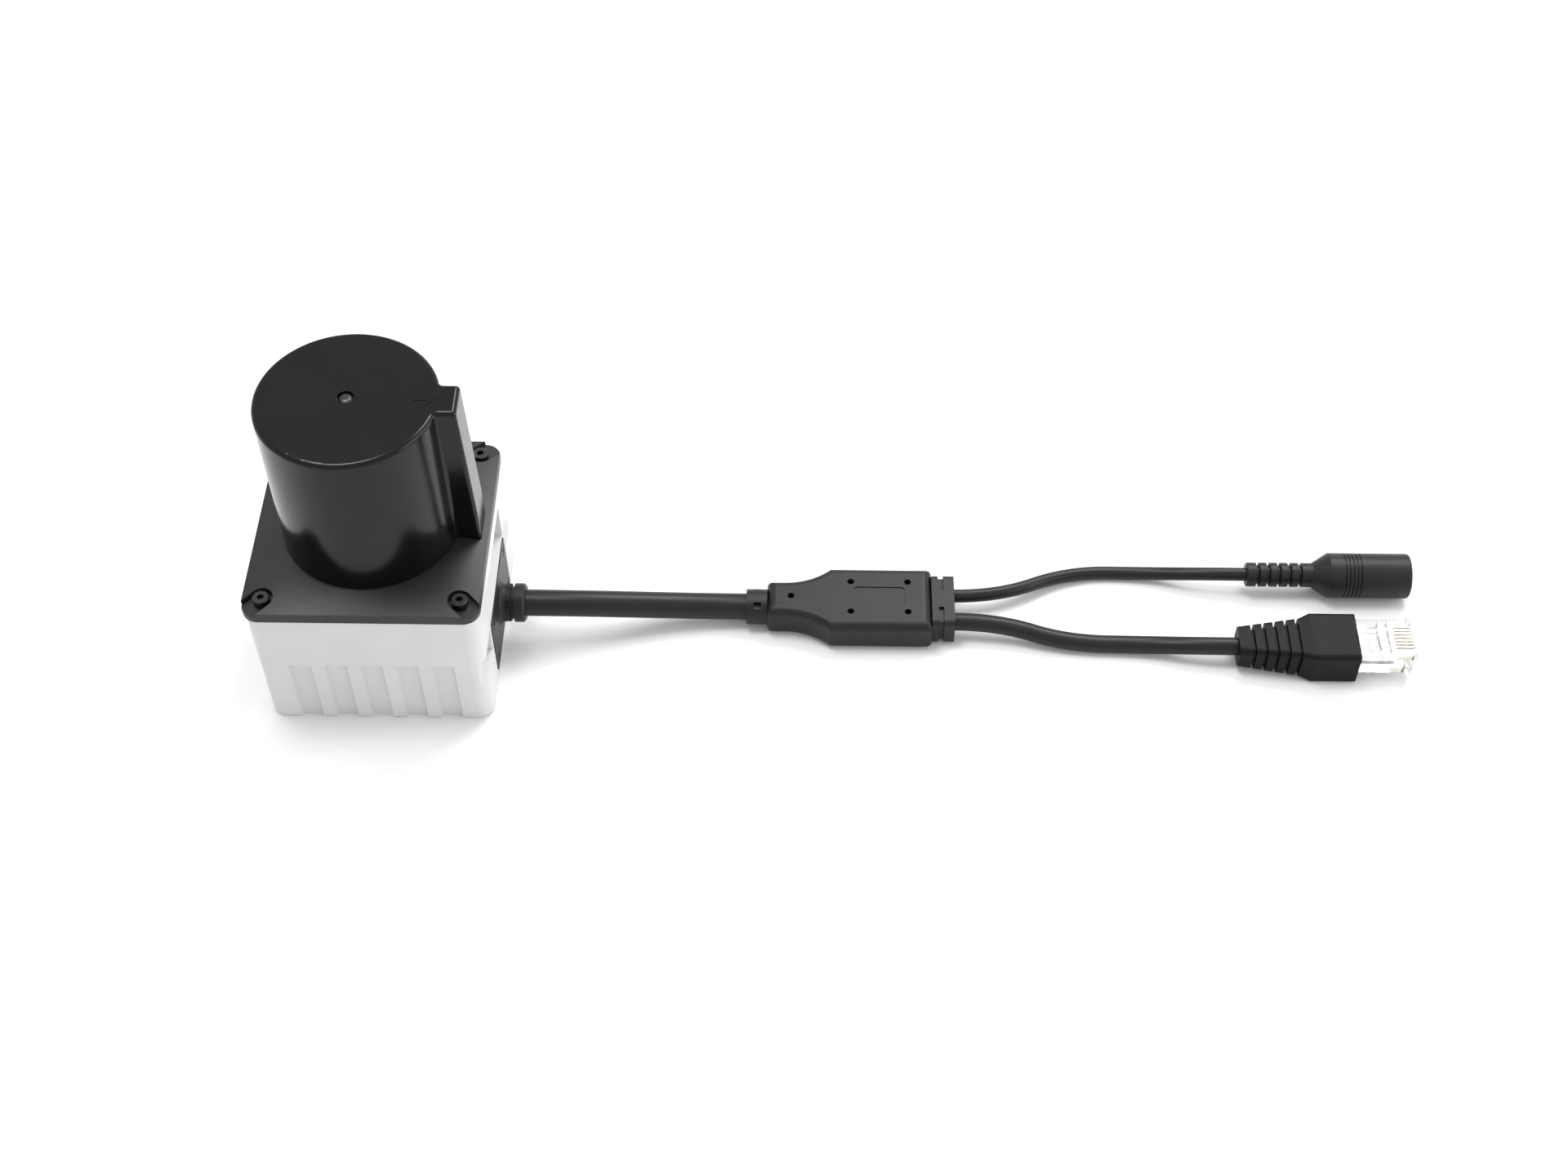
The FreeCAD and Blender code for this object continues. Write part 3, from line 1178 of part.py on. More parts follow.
def make_detector_chip():
    half = DETECTOR_CHIP / 2
    return box(DETECTOR_X - half, DETECTOR_X + half, -half, half, BARREL_Z1 - DETECTOR_CHIP_H, BARREL_Z1)


def make_flex_cable():
    """Flat lead in the key, from under the cover plate up to the bridge."""
    x0 = FLEX_SLOT_X + FLEX_GAP
    half = FLEX_W / 2
    return box(x0, x0 + FLEX_T, -half, half, BODY_H - FLEX_TAIL, BRIDGE_Z0)


# ---------------------------------------------------------------- cable
def rounded_path(points):
    """Straight runs joined by tangent arcs, each as large as its shorter run allows."""
    pts = [V(*p) for p in points]
    edges = []
    radii = []
    start = pts[0]
    for before, corner, after in zip(pts, pts[1:], pts[2:]):
        into = corner.sub(before)
        out = after.sub(corner)
        cut = ARC_SHARE * min(into.Length, out.Length)
        turn = into.getAngle(out)
        radii.append(cut / math.tan(turn / 2))
        into.normalize()
        out.normalize()
        first = corner.sub(V(into).multiply(cut))
        last = corner.add(V(out).multiply(cut))
        inward = V(out).sub(into).normalize()
        depth = radii[-1] * (1 / math.cos(turn / 2) - 1)
        middle = corner.add(V(inward).multiply(depth))
        edges.append(Part.LineSegment(start, first).toShape())
        edges.append(Part.Arc(first, middle, last).toShape())
        start = last
    edges.append(Part.LineSegment(start, pts[-1]).toShape())
    return Part.Wire(edges), radii


def cord_tube(name, points, diameter):
    path, radii = rounded_path(points)
    heading = V(*points[1]).sub(V(*points[0]))
    circle = Part.Circle(V(*points[0]), heading, diameter / 2).toShape()
    tube = path.makePipeShell([Part.Wire([circle])], True, True)
    section = math.pi * diameter ** 2 / 4
    print(name, "length", round(path.Length, 1), "radii", [round(r, 1) for r in radii],
          "volume", round(tube.Volume, 1), "of", round(section * path.Length, 1))
    return tube


# ---------------------------------------------------------------- splitter
def make_splitter_inlet():
    """Collar round the main cable with four small windows."""
    collar = rod(SPLIT_IN_R, (SPLIT_X0, SPLIT_Y, SPLIT_Z), SPLIT_IN_L, X_AXIS)
    for side, up in corners(1):
        y = SPLIT_Y + side * INLET_WINDOW_OUT
        half = INLET_WINDOW_W / 2
        z = [SPLIT_Z + up * (SPLIT_IN_R - INLET_WINDOW_DEPTH), SPLIT_Z + up * (SPLIT_IN_R - INLET_SKIN)]
        window_x = SPLIT_X0 + INLET_WINDOW_X
        collar = collar.cut(box(window_x, window_x + INLET_WINDOW_L, y - half, y + half, *sorted(z)))
    return collar.removeSplitter()


def splitter_outline(z):
    """Bottle-shaped plan: narrow neck, hollow flare, parallel body."""
    neck = SPLIT_NECK_W / 2
    half = SPLIT_W / 2
    x0 = SPLIT_BODY_X0
    x1 = x0 + SPLIT_NECK_L
    x2 = x1 + SPLIT_FLARE_L
    rise = half - neck
    radius = (SPLIT_FLARE_L ** 2 + rise ** 2) / (2 * rise)
    middle = math.asin(SPLIT_FLARE_L / radius) / 2
    bend = (x1 + radius * math.sin(middle), neck + radius * (1 - math.cos(middle)))
    upper = [(x0, neck), (x1, neck), bend, (x2, half), (SPLIT_BODY_X1, half)]
    high = [V(x, SPLIT_Y + y, z) for x, y in upper]
    low = [V(x, SPLIT_Y - y, z) for x, y in upper]
    edges = [Part.makeLine(high[0], high[1]), Part.Arc(high[1], high[2], high[3]).toShape(),
             Part.makeLine(high[3], high[4]), Part.makeLine(high[4], low[4]),
             Part.makeLine(low[4], low[3]), Part.Arc(low[3], low[2], low[1]).toShape(),
             Part.makeLine(low[1], low[0]), Part.makeLine(low[0], high[0])]
    return Part.Wire(edges)


def make_splitter_body():
    body = Part.Face(splitter_outline(0)).extrude(V(0, 0, SPLIT_T))
    upright = [e for e in body.Edges if e.BoundBox.ZLength > SPLIT_T * 0.9]
    body = body.makeFillet(SPLIT_SIDE_R, upright)
    body = body.makeFillet(SPLIT_EDGE_R, edges_at(body, SPLIT_T) + edges_at(body, 0))
    blind = SPLIT_T - SPLIT_PIN_DEPTH
    cuts = [rod(SPLIT_PIN_R, (SPLIT_BODY_X0 + SPLIT_PIN_NECK_X, SPLIT_Y, blind), SPLIT_T)]
    for sign in (-1, 1):
        y = SPLIT_Y + sign * SPLIT_PIN_Y
        through_x, blind_x = [SPLIT_BODY_X0 + x for x in SPLIT_PIN_X]
        cuts.append(rod(SPLIT_PIN_R, (through_x, y, -PAST), SPLIT_T + 2 * PAST))
        cuts.append(rod(SPLIT_PIN_R, (blind_x, y, blind), SPLIT_T))
    middle = SPLIT_BODY_X0 + sum(SPLIT_PIN_X) / 2
    label = block(LABEL_L, LABEL_W, LABEL_R, SPLIT_T - LABEL_DEPTH, PAST, (middle, SPLIT_Y))
    return body.cut(Part.makeCompound(cuts + [label]))


def make_splitter_outlet():
    """Flat collar round both branch cables, with a groove that stops short of its middle."""
    x0 = SPLIT_BODY_X1
    wire = rounded_rect(SPLIT_OUT_W, SPLIT_OUT_T, SPLIT_OUT_R, (x0, SPLIT_Y, SPLIT_Z), "yz")
    collar = Part.Face(wire).extrude(V(SPLIT_X1 - x0, 0, 0))
    band_x = x0 + SPLIT_BAND_X
    deep = 2 * SPLIT_BAND_DEPTH
    core_r = SPLIT_OUT_R - SPLIT_BAND_DEPTH
    core = rounded_rect(SPLIT_OUT_W - deep, SPLIT_OUT_T - deep, core_r, (band_x, SPLIT_Y, SPLIT_Z), "yz")
    slab = box(band_x, band_x + SPLIT_BAND_W, -BODY_W, BODY_W, -PAST, 2 * SPLIT_T)
    groove = slab.cut(Part.Face(core).extrude(V(2 * SPLIT_BAND_W, 0, 0)))
    keep = SPLIT_BAND_KEEP
    bridge = box(x0, SPLIT_X1, SPLIT_Y - keep, SPLIT_Y + keep, -PAST, 2 * SPLIT_T)
    return collar.cut(groove.cut(bridge)).removeSplitter()


# ---------------------------------------------------------------- barrel jack
def make_jack_relief():
    """Ribbed bend relief of the jack."""
    profile = [(0, JACK_RELIEF_R - JACK_NOSE), (JACK_NOSE, JACK_RELIEF_R)]
    step = JACK_GROOVE_STEP
    deep = JACK_RELIEF_R - JACK_GROOVE_DEPTH
    for i in range(JACK_GROOVES):
        x = JACK_GROOVE_X + i * JACK_GROOVE_PITCH
        profile += [(x, JACK_RELIEF_R), (x + step, deep), (x + 2 * step, deep),
                    (x + 3 * step, JACK_RELIEF_R)]
    profile.append((JACK_RELIEF_L, JACK_RELIEF_R))
    return turned(profile, (JACK_X0, JACK_Y, JACK_Z))


def make_jack_body():
    """Cone, a band of fine rings and a smooth barrel, bored from its end."""
    profile = [(0, JACK_RELIEF_R), (JACK_CONE_L, JACK_R)]
    deep = JACK_R - JACK_RING_DEPTH
    for i in range(JACK_RINGS):
        x = JACK_CONE_L + JACK_RING_X + i * JACK_RING_PITCH
        floor_x = x + JACK_RING_SLOPE
        rise_x = floor_x + JACK_RING_FLOOR
        profile += [(x, JACK_R), (floor_x, deep), (rise_x, deep), (rise_x + JACK_RING_SLOPE, JACK_R)]
    end = JACK_CONE_L + JACK_BODY_L
    profile += [(end - JACK_EDGE, JACK_R), (end - JACK_EDGE_IN, JACK_R - JACK_EDGE_IN),
                (end, JACK_R - JACK_EDGE)]
    body = turned(profile, (JACK_CONE_X, JACK_Y, JACK_Z))
    bore = JACK_BORE_R + JACK_LINER_T + THREAD_GAP
    return body.cut(rod(bore, (JACK_X1 - JACK_BORE_L, JACK_Y, JACK_Z), JACK_BORE_L + PAST, X_AXIS))


def make_jack_liner():
    """Spring contact sleeve that lines the socket."""
    start = (JACK_X1 - JACK_BORE_L, JACK_Y, JACK_Z)
    length = JACK_BORE_L - JACK_LINER_BACK
    sleeve = rod(JACK_BORE_R + JACK_LINER_T, start, length, X_AXIS)
    return sleeve.cut(rod(JACK_BORE_R, start, length, X_AXIS))


def make_jack_pin():
    length = JACK_BORE_L - JACK_PIN_SETBACK
    profile = [(0, JACK_PIN_R), (length - JACK_PIN_NOSE, JACK_PIN_R),
               (length - JACK_PIN_TIP, JACK_PIN_R - JACK_PIN_TIP_R), (length, JACK_PIN_TIP_R)]
    return turned(profile, (JACK_X1 - JACK_BORE_L, JACK_Y, JACK_Z))


# ---------------------------------------------------------------- network plug
def boot_section(x, width, height, shrink=0.0):
    slim = (BOOT_W - width) / (BOOT_W - BOOT_NOSE_W)
    radius = BOOT_CORNER_R + BOOT_NOSE_CORNER * slim - shrink / 2
    centre = (x, PLUG_Y, BOOT_Z)
    return rounded_rect(width - 2 * shrink, height - 2 * shrink, radius, centre, "yz")


def boot_taper(shrink=0.0):
    nose = boot_section(BOOT_X0, BOOT_NOSE_W, BOOT_NOSE_H, shrink)
    waist = boot_section(BOOT_X0 + BOOT_TAPER_L, BOOT_TAPER_W, BOOT_TAPER_H, shrink)
    return Part.makeLoft([nose, waist], True, True)


def make_plug_boot():
    """Soft boot: slotted taper, then a block that holds the rear of the plug."""
    slots = []
    core = boot_taper(BOOT_SLOT_DEPTH)
    for i in range(BOOT_SLOTS):
        x = BOOT_X0 + BOOT_SLOT_X + i * BOOT_SLOT_PITCH
        slab = box(x, x + BOOT_SLOT_W, PLUG_Y - BOOT_W, PLUG_Y + BOOT_W, -PAST, BOOT_H + PAST)
        slots.append(slab.cut(core))
    taper = boot_taper().cut(Part.makeCompound(slots))
    waist_x = BOOT_X0 + BOOT_TAPER_L
    shoulder_x = waist_x + BOOT_SHOULDER_L
    waist = boot_section(waist_x, BOOT_TAPER_W, BOOT_TAPER_H)
    shoulder = boot_section(shoulder_x, BOOT_W, BOOT_H)
    flare = Part.makeLoft([waist, shoulder], True, True)
    body = Part.Face(shoulder).extrude(V(BOOT_X1 - shoulder_x, 0, 0))
    boot = fused([taper, flare, body]).cut(plug_block(GAP))
    tail = box(BOOT_X1 - BOOT_TAIL_L, BOOT_X1 + PAST, PLUG_Y - LATCH_TAIL_W, PLUG_Y + LATCH_TAIL_W,
               -PAST, PLUG_Z0)
    return boot.cut(tail).removeSplitter()


def plug_block(grow=0.0):
    half = PLUG_W / 2 + grow
    x0 = PLUG_X1 - PLUG_L - grow
    return box(x0, PLUG_X1, PLUG_Y - half, PLUG_Y + half, PLUG_Z0 - grow, PLUG_TOP_Z + grow)


def contact_places():
    return [PLUG_Y + (i - (CONTACTS - 1) / 2) * CONTACT_PITCH for i in range(CONTACTS)]


def wire_end_x():
    return PLUG_X1 - CONTACT_L - 2 * CONTACT_SINK


def make_network_plug():
    """Clear plug body: contact slots in front, a crimp window, and a chamber for the wires."""
    plug = plug_block()
    nose = [e for e in plug.Edges if e.BoundBox.XLength < 1e-6 and abs(e.BoundBox.XMax - PLUG_X1) < 1e-4]
    plug = plug.makeChamfer(PLUG_NOSE, nose)
    cuts = []
    half = CONTACT_W / 2 + GAP
    low = PLUG_TOP_Z - CONTACT_H - CONTACT_SINK
    back = PLUG_X1 - CONTACT_L - CONTACT_SINK
    for y in contact_places():
        cuts.append(box(back, PLUG_X1 + PAST, y - half, y + half, low, PLUG_TOP_Z + PAST))
    crimp = (PLUG_X1 - CRIMP_X, PLUG_Y)
    cuts.append(block(CRIMP_L, CRIMP_W, CRIMP_R, PLUG_TOP_Z - CRIMP_DEPTH, CRIMP_DEPTH + PAST, crimp))
    groove_x = PLUG_X1 - GROOVE_X
    side = GROOVE_HALF_W
    cuts.append(box(groove_x, groove_x + GROOVE_L, PLUG_Y - side, PLUG_Y + side,
                    PLUG_TOP_Z - GROOVE_DEPTH, PLUG_TOP_Z + PAST))
    chamber = CONTACTS * CONTACT_PITCH / 2
    low = PLUG_Z0 + WIRE_CHAMBER_Z
    cuts.append(box(PLUG_X1 - PLUG_L - PAST, wire_end_x() + GAP, PLUG_Y - chamber, PLUG_Y + chamber,
                    low, low + WIRE_CHAMBER_H))
    pivot = (LATCH_PIVOT_X, PLUG_Y - LATCH_ROOT_W / 2 - 2 * GAP, LATCH_PIVOT_Z)
    cuts.append(rod(LATCH_PIVOT_R + RUN_GAP, pivot, LATCH_ROOT_W + 4 * GAP, Y_AXIS))
    return plug.cut(Part.makeCompound(cuts))


def make_plug_contacts():
    blades = []
    half = CONTACT_W / 2
    for y in contact_places():
        blades.append(box(PLUG_X1 - CONTACT_L, PLUG_X1 - CONTACT_BACK, y - half, y + half,
                          PLUG_TOP_Z - CONTACT_H, PLUG_TOP_Z - CONTACT_SINK))
    return blades


def make_plug_wires():
    """Eight insulated conductors side by side in the plug's chamber."""
    x0 = PLUG_X1 - PLUG_L + GAP
    z = PLUG_Z0 + WIRE_CHAMBER_Z + WIRE_CHAMBER_H / 2
    return [rod(WIRE_R, (x0, y, z), wire_end_x() - x0, X_AXIS) for y in contact_places()]


def make_plug_latch():
    """Sprung finger under the plug: wide at the pivot in front, narrow at the tail."""
    x0 = LATCH_PIVOT_X
    x1 = x0 - LATCH_L
    root = LATCH_ROOT_W / 2
    tail = LATCH_TAIL_W / 2
    low = LATCH_PIVOT_Z - LATCH_DROP - LATCH_T / 2
    step = x0 - LATCH_L * LATCH_ROOT_SHARE
    slope = step - (root - tail)
    outline = [(x0, -root), (x0, root), (step, root), (slope, tail), (x1, tail), (x1, -tail),
               (slope, -tail), (step, -root)]
    arm = polygon([(x, PLUG_Y + y, low) for x, y in outline], (0, 0, LATCH_T))
    arm.rotate(V(x0, PLUG_Y, LATCH_PIVOT_Z), Y_AXIS, -LATCH_REST_DEG)
    barrel = rod(LATCH_PIVOT_R, (x0, PLUG_Y - root, LATCH_PIVOT_Z), LATCH_ROOT_W, Y_AXIS)
    return arm.fuse(barrel).removeSplitter()


# ---------------------------------------------------------------- assembly
def build():
    cover = make_top_cover()
    return {
        "housing": make_housing(),
        "cover_seal": cover_seal_ring(GAP),
        "top_cover": cover,
        "cover_screws": make_cover_screws(),
        "window_hood": make_window_hood(cover),
        "hood_seal": make_hood_seal(),
        "hood_screw": make_hood_screw(),
        "cable_flange": make_cable_flange(),
        "flange_gasket": flange_plate(FLANGE_SEAL_X0, FLANGE_X0),
        "flange_screws": make_flange_screws(),
        "strain_relief": make_strain_relief(),
        "inner_lead": make_inner_lead(),
        "main_board": make_main_board(),
        "board_chips": make_board_chips(),
        "cable_header": make_cable_header(),
        "board_standoffs": make_standoffs(),
        "board_screws": make_board_screws(),
        "motor_mount": make_motor_mount(),
        "motor_mount_screws": make_deck_screws(),
        "lower_bearing": make_bearing(BEARING_LOW_Z),
        "upper_bearing": make_bearing(BEARING_HIGH_Z),
        "stator_core": make_stator_core(),
        "stator_coils": make_stator_coils(),
        "encoder_sensor": make_encoder_sensor(),
        "rotor_shaft": make_rotor_shaft(),
        "rotor_bell": make_rotor_bell(),
        "rotor_magnets": make_rotor_magnets(),
        "encoder_disc": make_encoder_disc(),
        "mirror_carrier": make_mirror_carrier(),
        "carrier_screws": make_carrier_screws(),
        "scan_mirror": make_scan_mirror(),
        "optics_frame": make_optics_frame(),
        "optics_frame_screws": make_frame_screws(),
        "receiver_lens": make_receiver_lens(),
        "lens_ring": make_lens_ring(),
        "emitter_tube": make_emitter_tube(),
        "detector_board": make_detector_board(),
        "detector_chip": make_detector_chip(),
        "flex_cable": make_flex_cable(),
        "main_cable": cord_tube("main_cable", MAIN_ROUTE, MAIN_D),
        "splitter_inlet": make_splitter_inlet(),
        "splitter_body": make_splitter_body(),
        "splitter_outlet": make_splitter_outlet(),
        "dc_cable": cord_tube("dc_cable", DC_ROUTE, DC_D),
        "jack_relief": make_jack_relief(),
        "jack_body": make_jack_body(),
        "jack_liner": make_jack_liner(),
        "jack_pin": make_jack_pin(),
        "network_cable": cord_tube("network_cable", NET_ROUTE, NET_D),
        "plug_boot": make_plug_boot(),
        "network_plug": make_network_plug(),
        "plug_contacts": make_plug_contacts(),
        "plug_wires": make_plug_wires(),
        "plug_latch": make_plug_latch(),
    }


def main():
    os.makedirs("parts", exist_ok=True)
    for name, made in build().items():
        solids = made if isinstance(made, list) else made.Solids
        shape = solids[0] if len(solids) == 1 else Part.makeCompound(solids)
        if not shape.isValid() or not solids:
            print("not valid:", name)
        shape.exportStep("parts/" + name + ".step")
        box_of = shape.BoundBox
        print(name, len(solids), "solids, volume", round(sum(s.Volume for s in solids), 2),
              "x", round(box_of.XMin, 2), round(box_of.XMax, 2), "y", round(box_of.YMin, 2),
              round(box_of.YMax, 2), "z", round(box_of.ZMin, 2), round(box_of.ZMax, 2))


main()
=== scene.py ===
import json
import math

import bpy
from mathutils import Matrix, Vector


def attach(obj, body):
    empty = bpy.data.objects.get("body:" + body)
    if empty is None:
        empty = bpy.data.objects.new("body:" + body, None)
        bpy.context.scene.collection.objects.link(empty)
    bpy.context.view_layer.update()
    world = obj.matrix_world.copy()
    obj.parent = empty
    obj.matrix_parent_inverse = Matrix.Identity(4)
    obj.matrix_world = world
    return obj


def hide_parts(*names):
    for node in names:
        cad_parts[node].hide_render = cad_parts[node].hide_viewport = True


# Compact scanning lidar with a two-way cable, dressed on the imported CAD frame.
# Metres. +Z is the scan axis and +X is the side where the cable leaves.

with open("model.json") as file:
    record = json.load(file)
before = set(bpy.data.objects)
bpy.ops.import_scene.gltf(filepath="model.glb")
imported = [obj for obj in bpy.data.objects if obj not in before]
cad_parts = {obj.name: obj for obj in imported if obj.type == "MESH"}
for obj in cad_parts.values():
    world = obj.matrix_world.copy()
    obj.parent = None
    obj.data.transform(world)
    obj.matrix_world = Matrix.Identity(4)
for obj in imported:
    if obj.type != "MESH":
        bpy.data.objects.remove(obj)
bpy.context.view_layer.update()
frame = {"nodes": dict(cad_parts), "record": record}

MM = 0.001

# ---------------------------------------------------------------- view
CAMERA_PLACE = Vector((0.10160, -0.33093, 0.42089))
CAMERA_DOWN = math.radians(50.58)
CAMERA_TURN = math.radians(-1.092)
CAMERA_ROLL = math.radians(-0.178)
CAMERA_LENS = 50.0
CAMERA_SENSOR = 36.0

# ---------------------------------------------------------------- cords
# Diameters, lengths along the cord, and the height of the splitter's middle.
MAIN_D = 0.0065
DC_D = 0.0033
NET_D = 0.0044
MAIN_LENGTH = 0.0543
DC_LENGTH = 0.0756
NET_LENGTH = 0.0691
SPLIT_Z = 0.0045
MAIN_ROUTE = [
    (0.0329, 0.0, 0.0113),
    (0.0465, 0.0, 0.0113),
    (0.0720, 0.0051, SPLIT_Z),
    (0.0860, 0.0051, SPLIT_Z),
]
DC_ROUTE = [
    (0.1368, 0.0092, SPLIT_Z),
    (0.1478, 0.0092, SPLIT_Z),
    (0.1660, 0.0196, DC_D / 2),
    (0.1860, 0.0195, DC_D / 2),
    (0.1995, 0.01635, 0.00555),
    (0.2094, 0.01635, 0.00555),
]
NET_ROUTE = [
    (0.1368, 0.0011, SPLIT_Z),
    (0.1474, 0.0011, SPLIT_Z),
    (0.1642, -0.0034, NET_D / 2),
    (0.1840, -0.0036, NET_D / 2),
    (0.1960, -0.0059, 0.0050),
    (0.2049, -0.0059, 0.0050),
]

# ---------------------------------------------------------------- surroundings
FLOOR_HALF = 3.0
FLOOR_TONE = (0.76, 0.76, 0.76)
SKY_LOW = 0.85
SKY_HIGH = 0.80
LIGHT_AIM = (0.06, 0.0, 0.03)
# name, place, diameter of the round panel, watts
LIGHTS = [
    ("side_light", (0.95, -0.05, 0.33), 0.9, 4.5),
    ("back_light", (0.36, 0.56, 0.82), 0.5, 6.5),
    ("overhead_light", (-0.13, 0.13, 1.0), 0.4, 5.5),
]

# Noise stays mostly inside this band, which the finishes stretch to their full range.
NOISE_LOW = 0.3
NOISE_HIGH = 0.7
ROUGH_SPREAD = 0.06
METAL_ROUGH_SPREAD = 0.08


# ---------------------------------------------------------------- materials
class Finish:
    """A material built from one Principled shader and the textures that drive it."""

    def __init__(self, name):
        self.material = bpy.data.materials.new(name)
        self.material.use_nodes = True
        self.tree = self.material.node_tree
        self.shader = self.tree.nodes["Principled BSDF"]
        self.place = self.tree.nodes.new("ShaderNodeTexCoord").outputs["Object"]

    def constant(self, **values):
        for socket, value in values.items():
            self.shader.inputs[socket.replace("_", " ")].default_value = value
        return self

    def link(self, output, target):
        self.tree.links.new(output, target)

    def noise(self, size_mm, detail=2.0, stretch=None):
        """Noise whose features are about size_mm across."""
        texture = self.tree.nodes.new("ShaderNodeTexNoise")
        texture.inputs["Scale"].default_value = 1.0 / (size_mm * MM)
        texture.inputs["Detail"].default_value = detail
        place = self.place
        if stretch:
            mapping = self.tree.nodes.new("ShaderNodeMapping")
            mapping.inputs["Scale"].default_value = stretch
            self.link(self.place, mapping.inputs["Vector"])
            place = mapping.outputs["Vector"]
        self.link(place, texture.inputs["Vector"])
        return texture.outputs["Fac"]

    def spread(self, source, low, high):
        """A 0 to 1 texture stretched to run from low to high."""
        node = self.tree.nodes.new("ShaderNodeMapRange")
        node.inputs["From Min"].default_value = NOISE_LOW
        node.inputs["From Max"].default_value = NOISE_HIGH
        node.inputs["To Min"].default_value = low
        node.inputs["To Max"].default_value = high
        self.link(source, node.inputs["Value"])
        return node.outputs["Result"]

    def colours(self, source, first, second):
        ramp = self.tree.nodes.new("ShaderNodeValToRGB")
        ramp.color_ramp.elements[0].position = NOISE_LOW
        ramp.color_ramp.elements[1].position = NOISE_HIGH
        ramp.color_ramp.elements[0].color = (*first, 1)
        ramp.color_ramp.elements[1].color = (*second, 1)
        self.link(source, ramp.inputs["Fac"])
        self.link(ramp.outputs["Color"], self.shader.inputs["Base Color"])
        return self

    def rough(self, source, low, high):
        self.link(self.spread(source, low, high), self.shader.inputs["Roughness"])
        return self

    def bump(self, source, height_mm, strength=1.0):
        node = self.tree.nodes.new("ShaderNodeBump")
        node.inputs["Strength"].default_value = strength
        node.inputs["Distance"].default_value = height_mm * MM
        self.link(source, node.inputs["Height"])
        previous = self.shader.inputs["Normal"].links
        if previous:
            self.link(previous[0].from_socket, node.inputs["Normal"])
        self.link(node.outputs["Normal"], self.shader.inputs["Normal"])
        return self


def grey(value):
    return (value, value, value)


def moulded(name, tone, rough, grain_mm=0.25, height_mm=0.006, mottle=0.15, **values):
    """Moulded plastic: spark-eroded grain, slight blotches in tone and gloss."""
    finish = Finish(name)
    blotch = finish.noise(6.0, 3.0)
    grain = finish.noise(grain_mm, 2.0)
    low = tuple(c * (1 - mottle) for c in tone)
    high = tuple(c * (1 + mottle) for c in tone)
    finish.colours(blotch, low, high)
    finish.rough(grain, rough - ROUGH_SPREAD, rough + ROUGH_SPREAD)
    finish.bump(grain, height_mm)
    return finish.constant(**values).material


def metal(name, tone, rough, brush=(1, 1, 12), grain_mm=0.3):
    """Machined metal: brushed streaks along one direction."""
    finish = Finish(name)
    streak = finish.noise(grain_mm, 3.0, brush)
    finish.colours(streak, tuple(c * 0.85 for c in tone), tone)
    finish.rough(streak, rough - METAL_ROUGH_SPREAD, rough + METAL_ROUGH_SPREAD)
    finish.bump(streak, 0.002)
    return finish.constant(Metallic=1.0).material


def powder_coat():
    """Fine orange-peel powder coat on the housing."""
    finish = Finish("white_powder_coat")
    peel = finish.noise(0.55, 2.0)
    blotch = finish.noise(9.0, 3.0)
    finish.colours(blotch, (0.585, 0.577, 0.57), (0.615, 0.607, 0.60))
    finish.rough(peel, 0.42, 0.54)
    finish.bump(peel, 0.008)
    return finish.material


def cover_coat():
    """Satin black coat on the cover plate: close grain that breaks up its highlights."""
    finish = Finish("black_cover_coat")
    grain = finish.noise(0.32, 2.0)
    blotch = finish.noise(14.0, 2.0)
    finish.colours(blotch, grey(0.012), grey(0.016))
    finish.rough(grain, 0.36, 0.46)
    finish.bump(grain, 0.010)
    return finish.constant(IOR=1.41).material


def window_gloss():
    """Polished infrared window: nearly black, with a faint handling haze in its gloss."""
    finish = Finish("window_gloss")
    haze = finish.noise(11.0, 4.0)
    ripple = finish.noise(7.0, 1.0)
    finish.colours(haze, grey(0.0030), grey(0.0042))
    finish.rough(haze, 0.15, 0.20)
    finish.bump(ripple, 0.003)
    return finish.constant(IOR=1.32).material


def clear_plastic():
    """Clear polycarbonate with flow lines, slightly milky."""
    finish = Finish("clear_plug")
    flow = finish.noise(1.6, 3.0, (0.35, 1, 1))
    finish.colours(flow, (0.93, 0.94, 0.94), (0.99, 0.99, 0.985))
    finish.rough(flow, 0.04, 0.12)
    finish.bump(flow, 0.02)
    return finish.constant(Transmission_Weight=0.94, IOR=1.5).material


def glass(name, tone, rough):
    """Clear glass with a very light haze."""
    finish = Finish(name)
    haze = finish.noise(4.0, 3.0)
    finish.colours(haze, tuple(c * 0.97 for c in tone), tone)
    finish.rough(haze, rough, rough + 0.03)
    return finish.constant(Transmission_Weight=0.95, IOR=1.52).material


def mirror():
    """Front-coated mirror with a trace of haze."""
    finish = Finish("mirror_coat")
    haze = finish.noise(3.0, 3.0)
    finish.colours(haze, grey(0.86), grey(0.92))
    finish.rough(haze, 0.01, 0.04)
    return finish.constant(Metallic=1.0).material


def circuit_board():
    """Green solder mask with a faint weave of the laminate."""
    finish = Finish("solder_mask")
    weave = finish.noise(0.6, 2.0, (1, 4, 1))
    finish.colours(weave, (0.008, 0.10, 0.045), (0.012, 0.14, 0.06))
    finish.rough(weave, 0.25, 0.4)
    finish.bump(weave, 0.01)
    return finish.material


def copper():
    """Enamelled winding wire: close turns around each tooth."""
    finish = Finish("winding_wire")
    turns = finish.noise(0.35, 1.0, (1, 1, 6))
    finish.colours(turns, (0.45, 0.16, 0.06), (0.72, 0.30, 0.12))
    finish.rough(turns, 0.25, 0.45)
    finish.bump(turns, 0.05)
    return finish.constant(Metallic=0.9).material


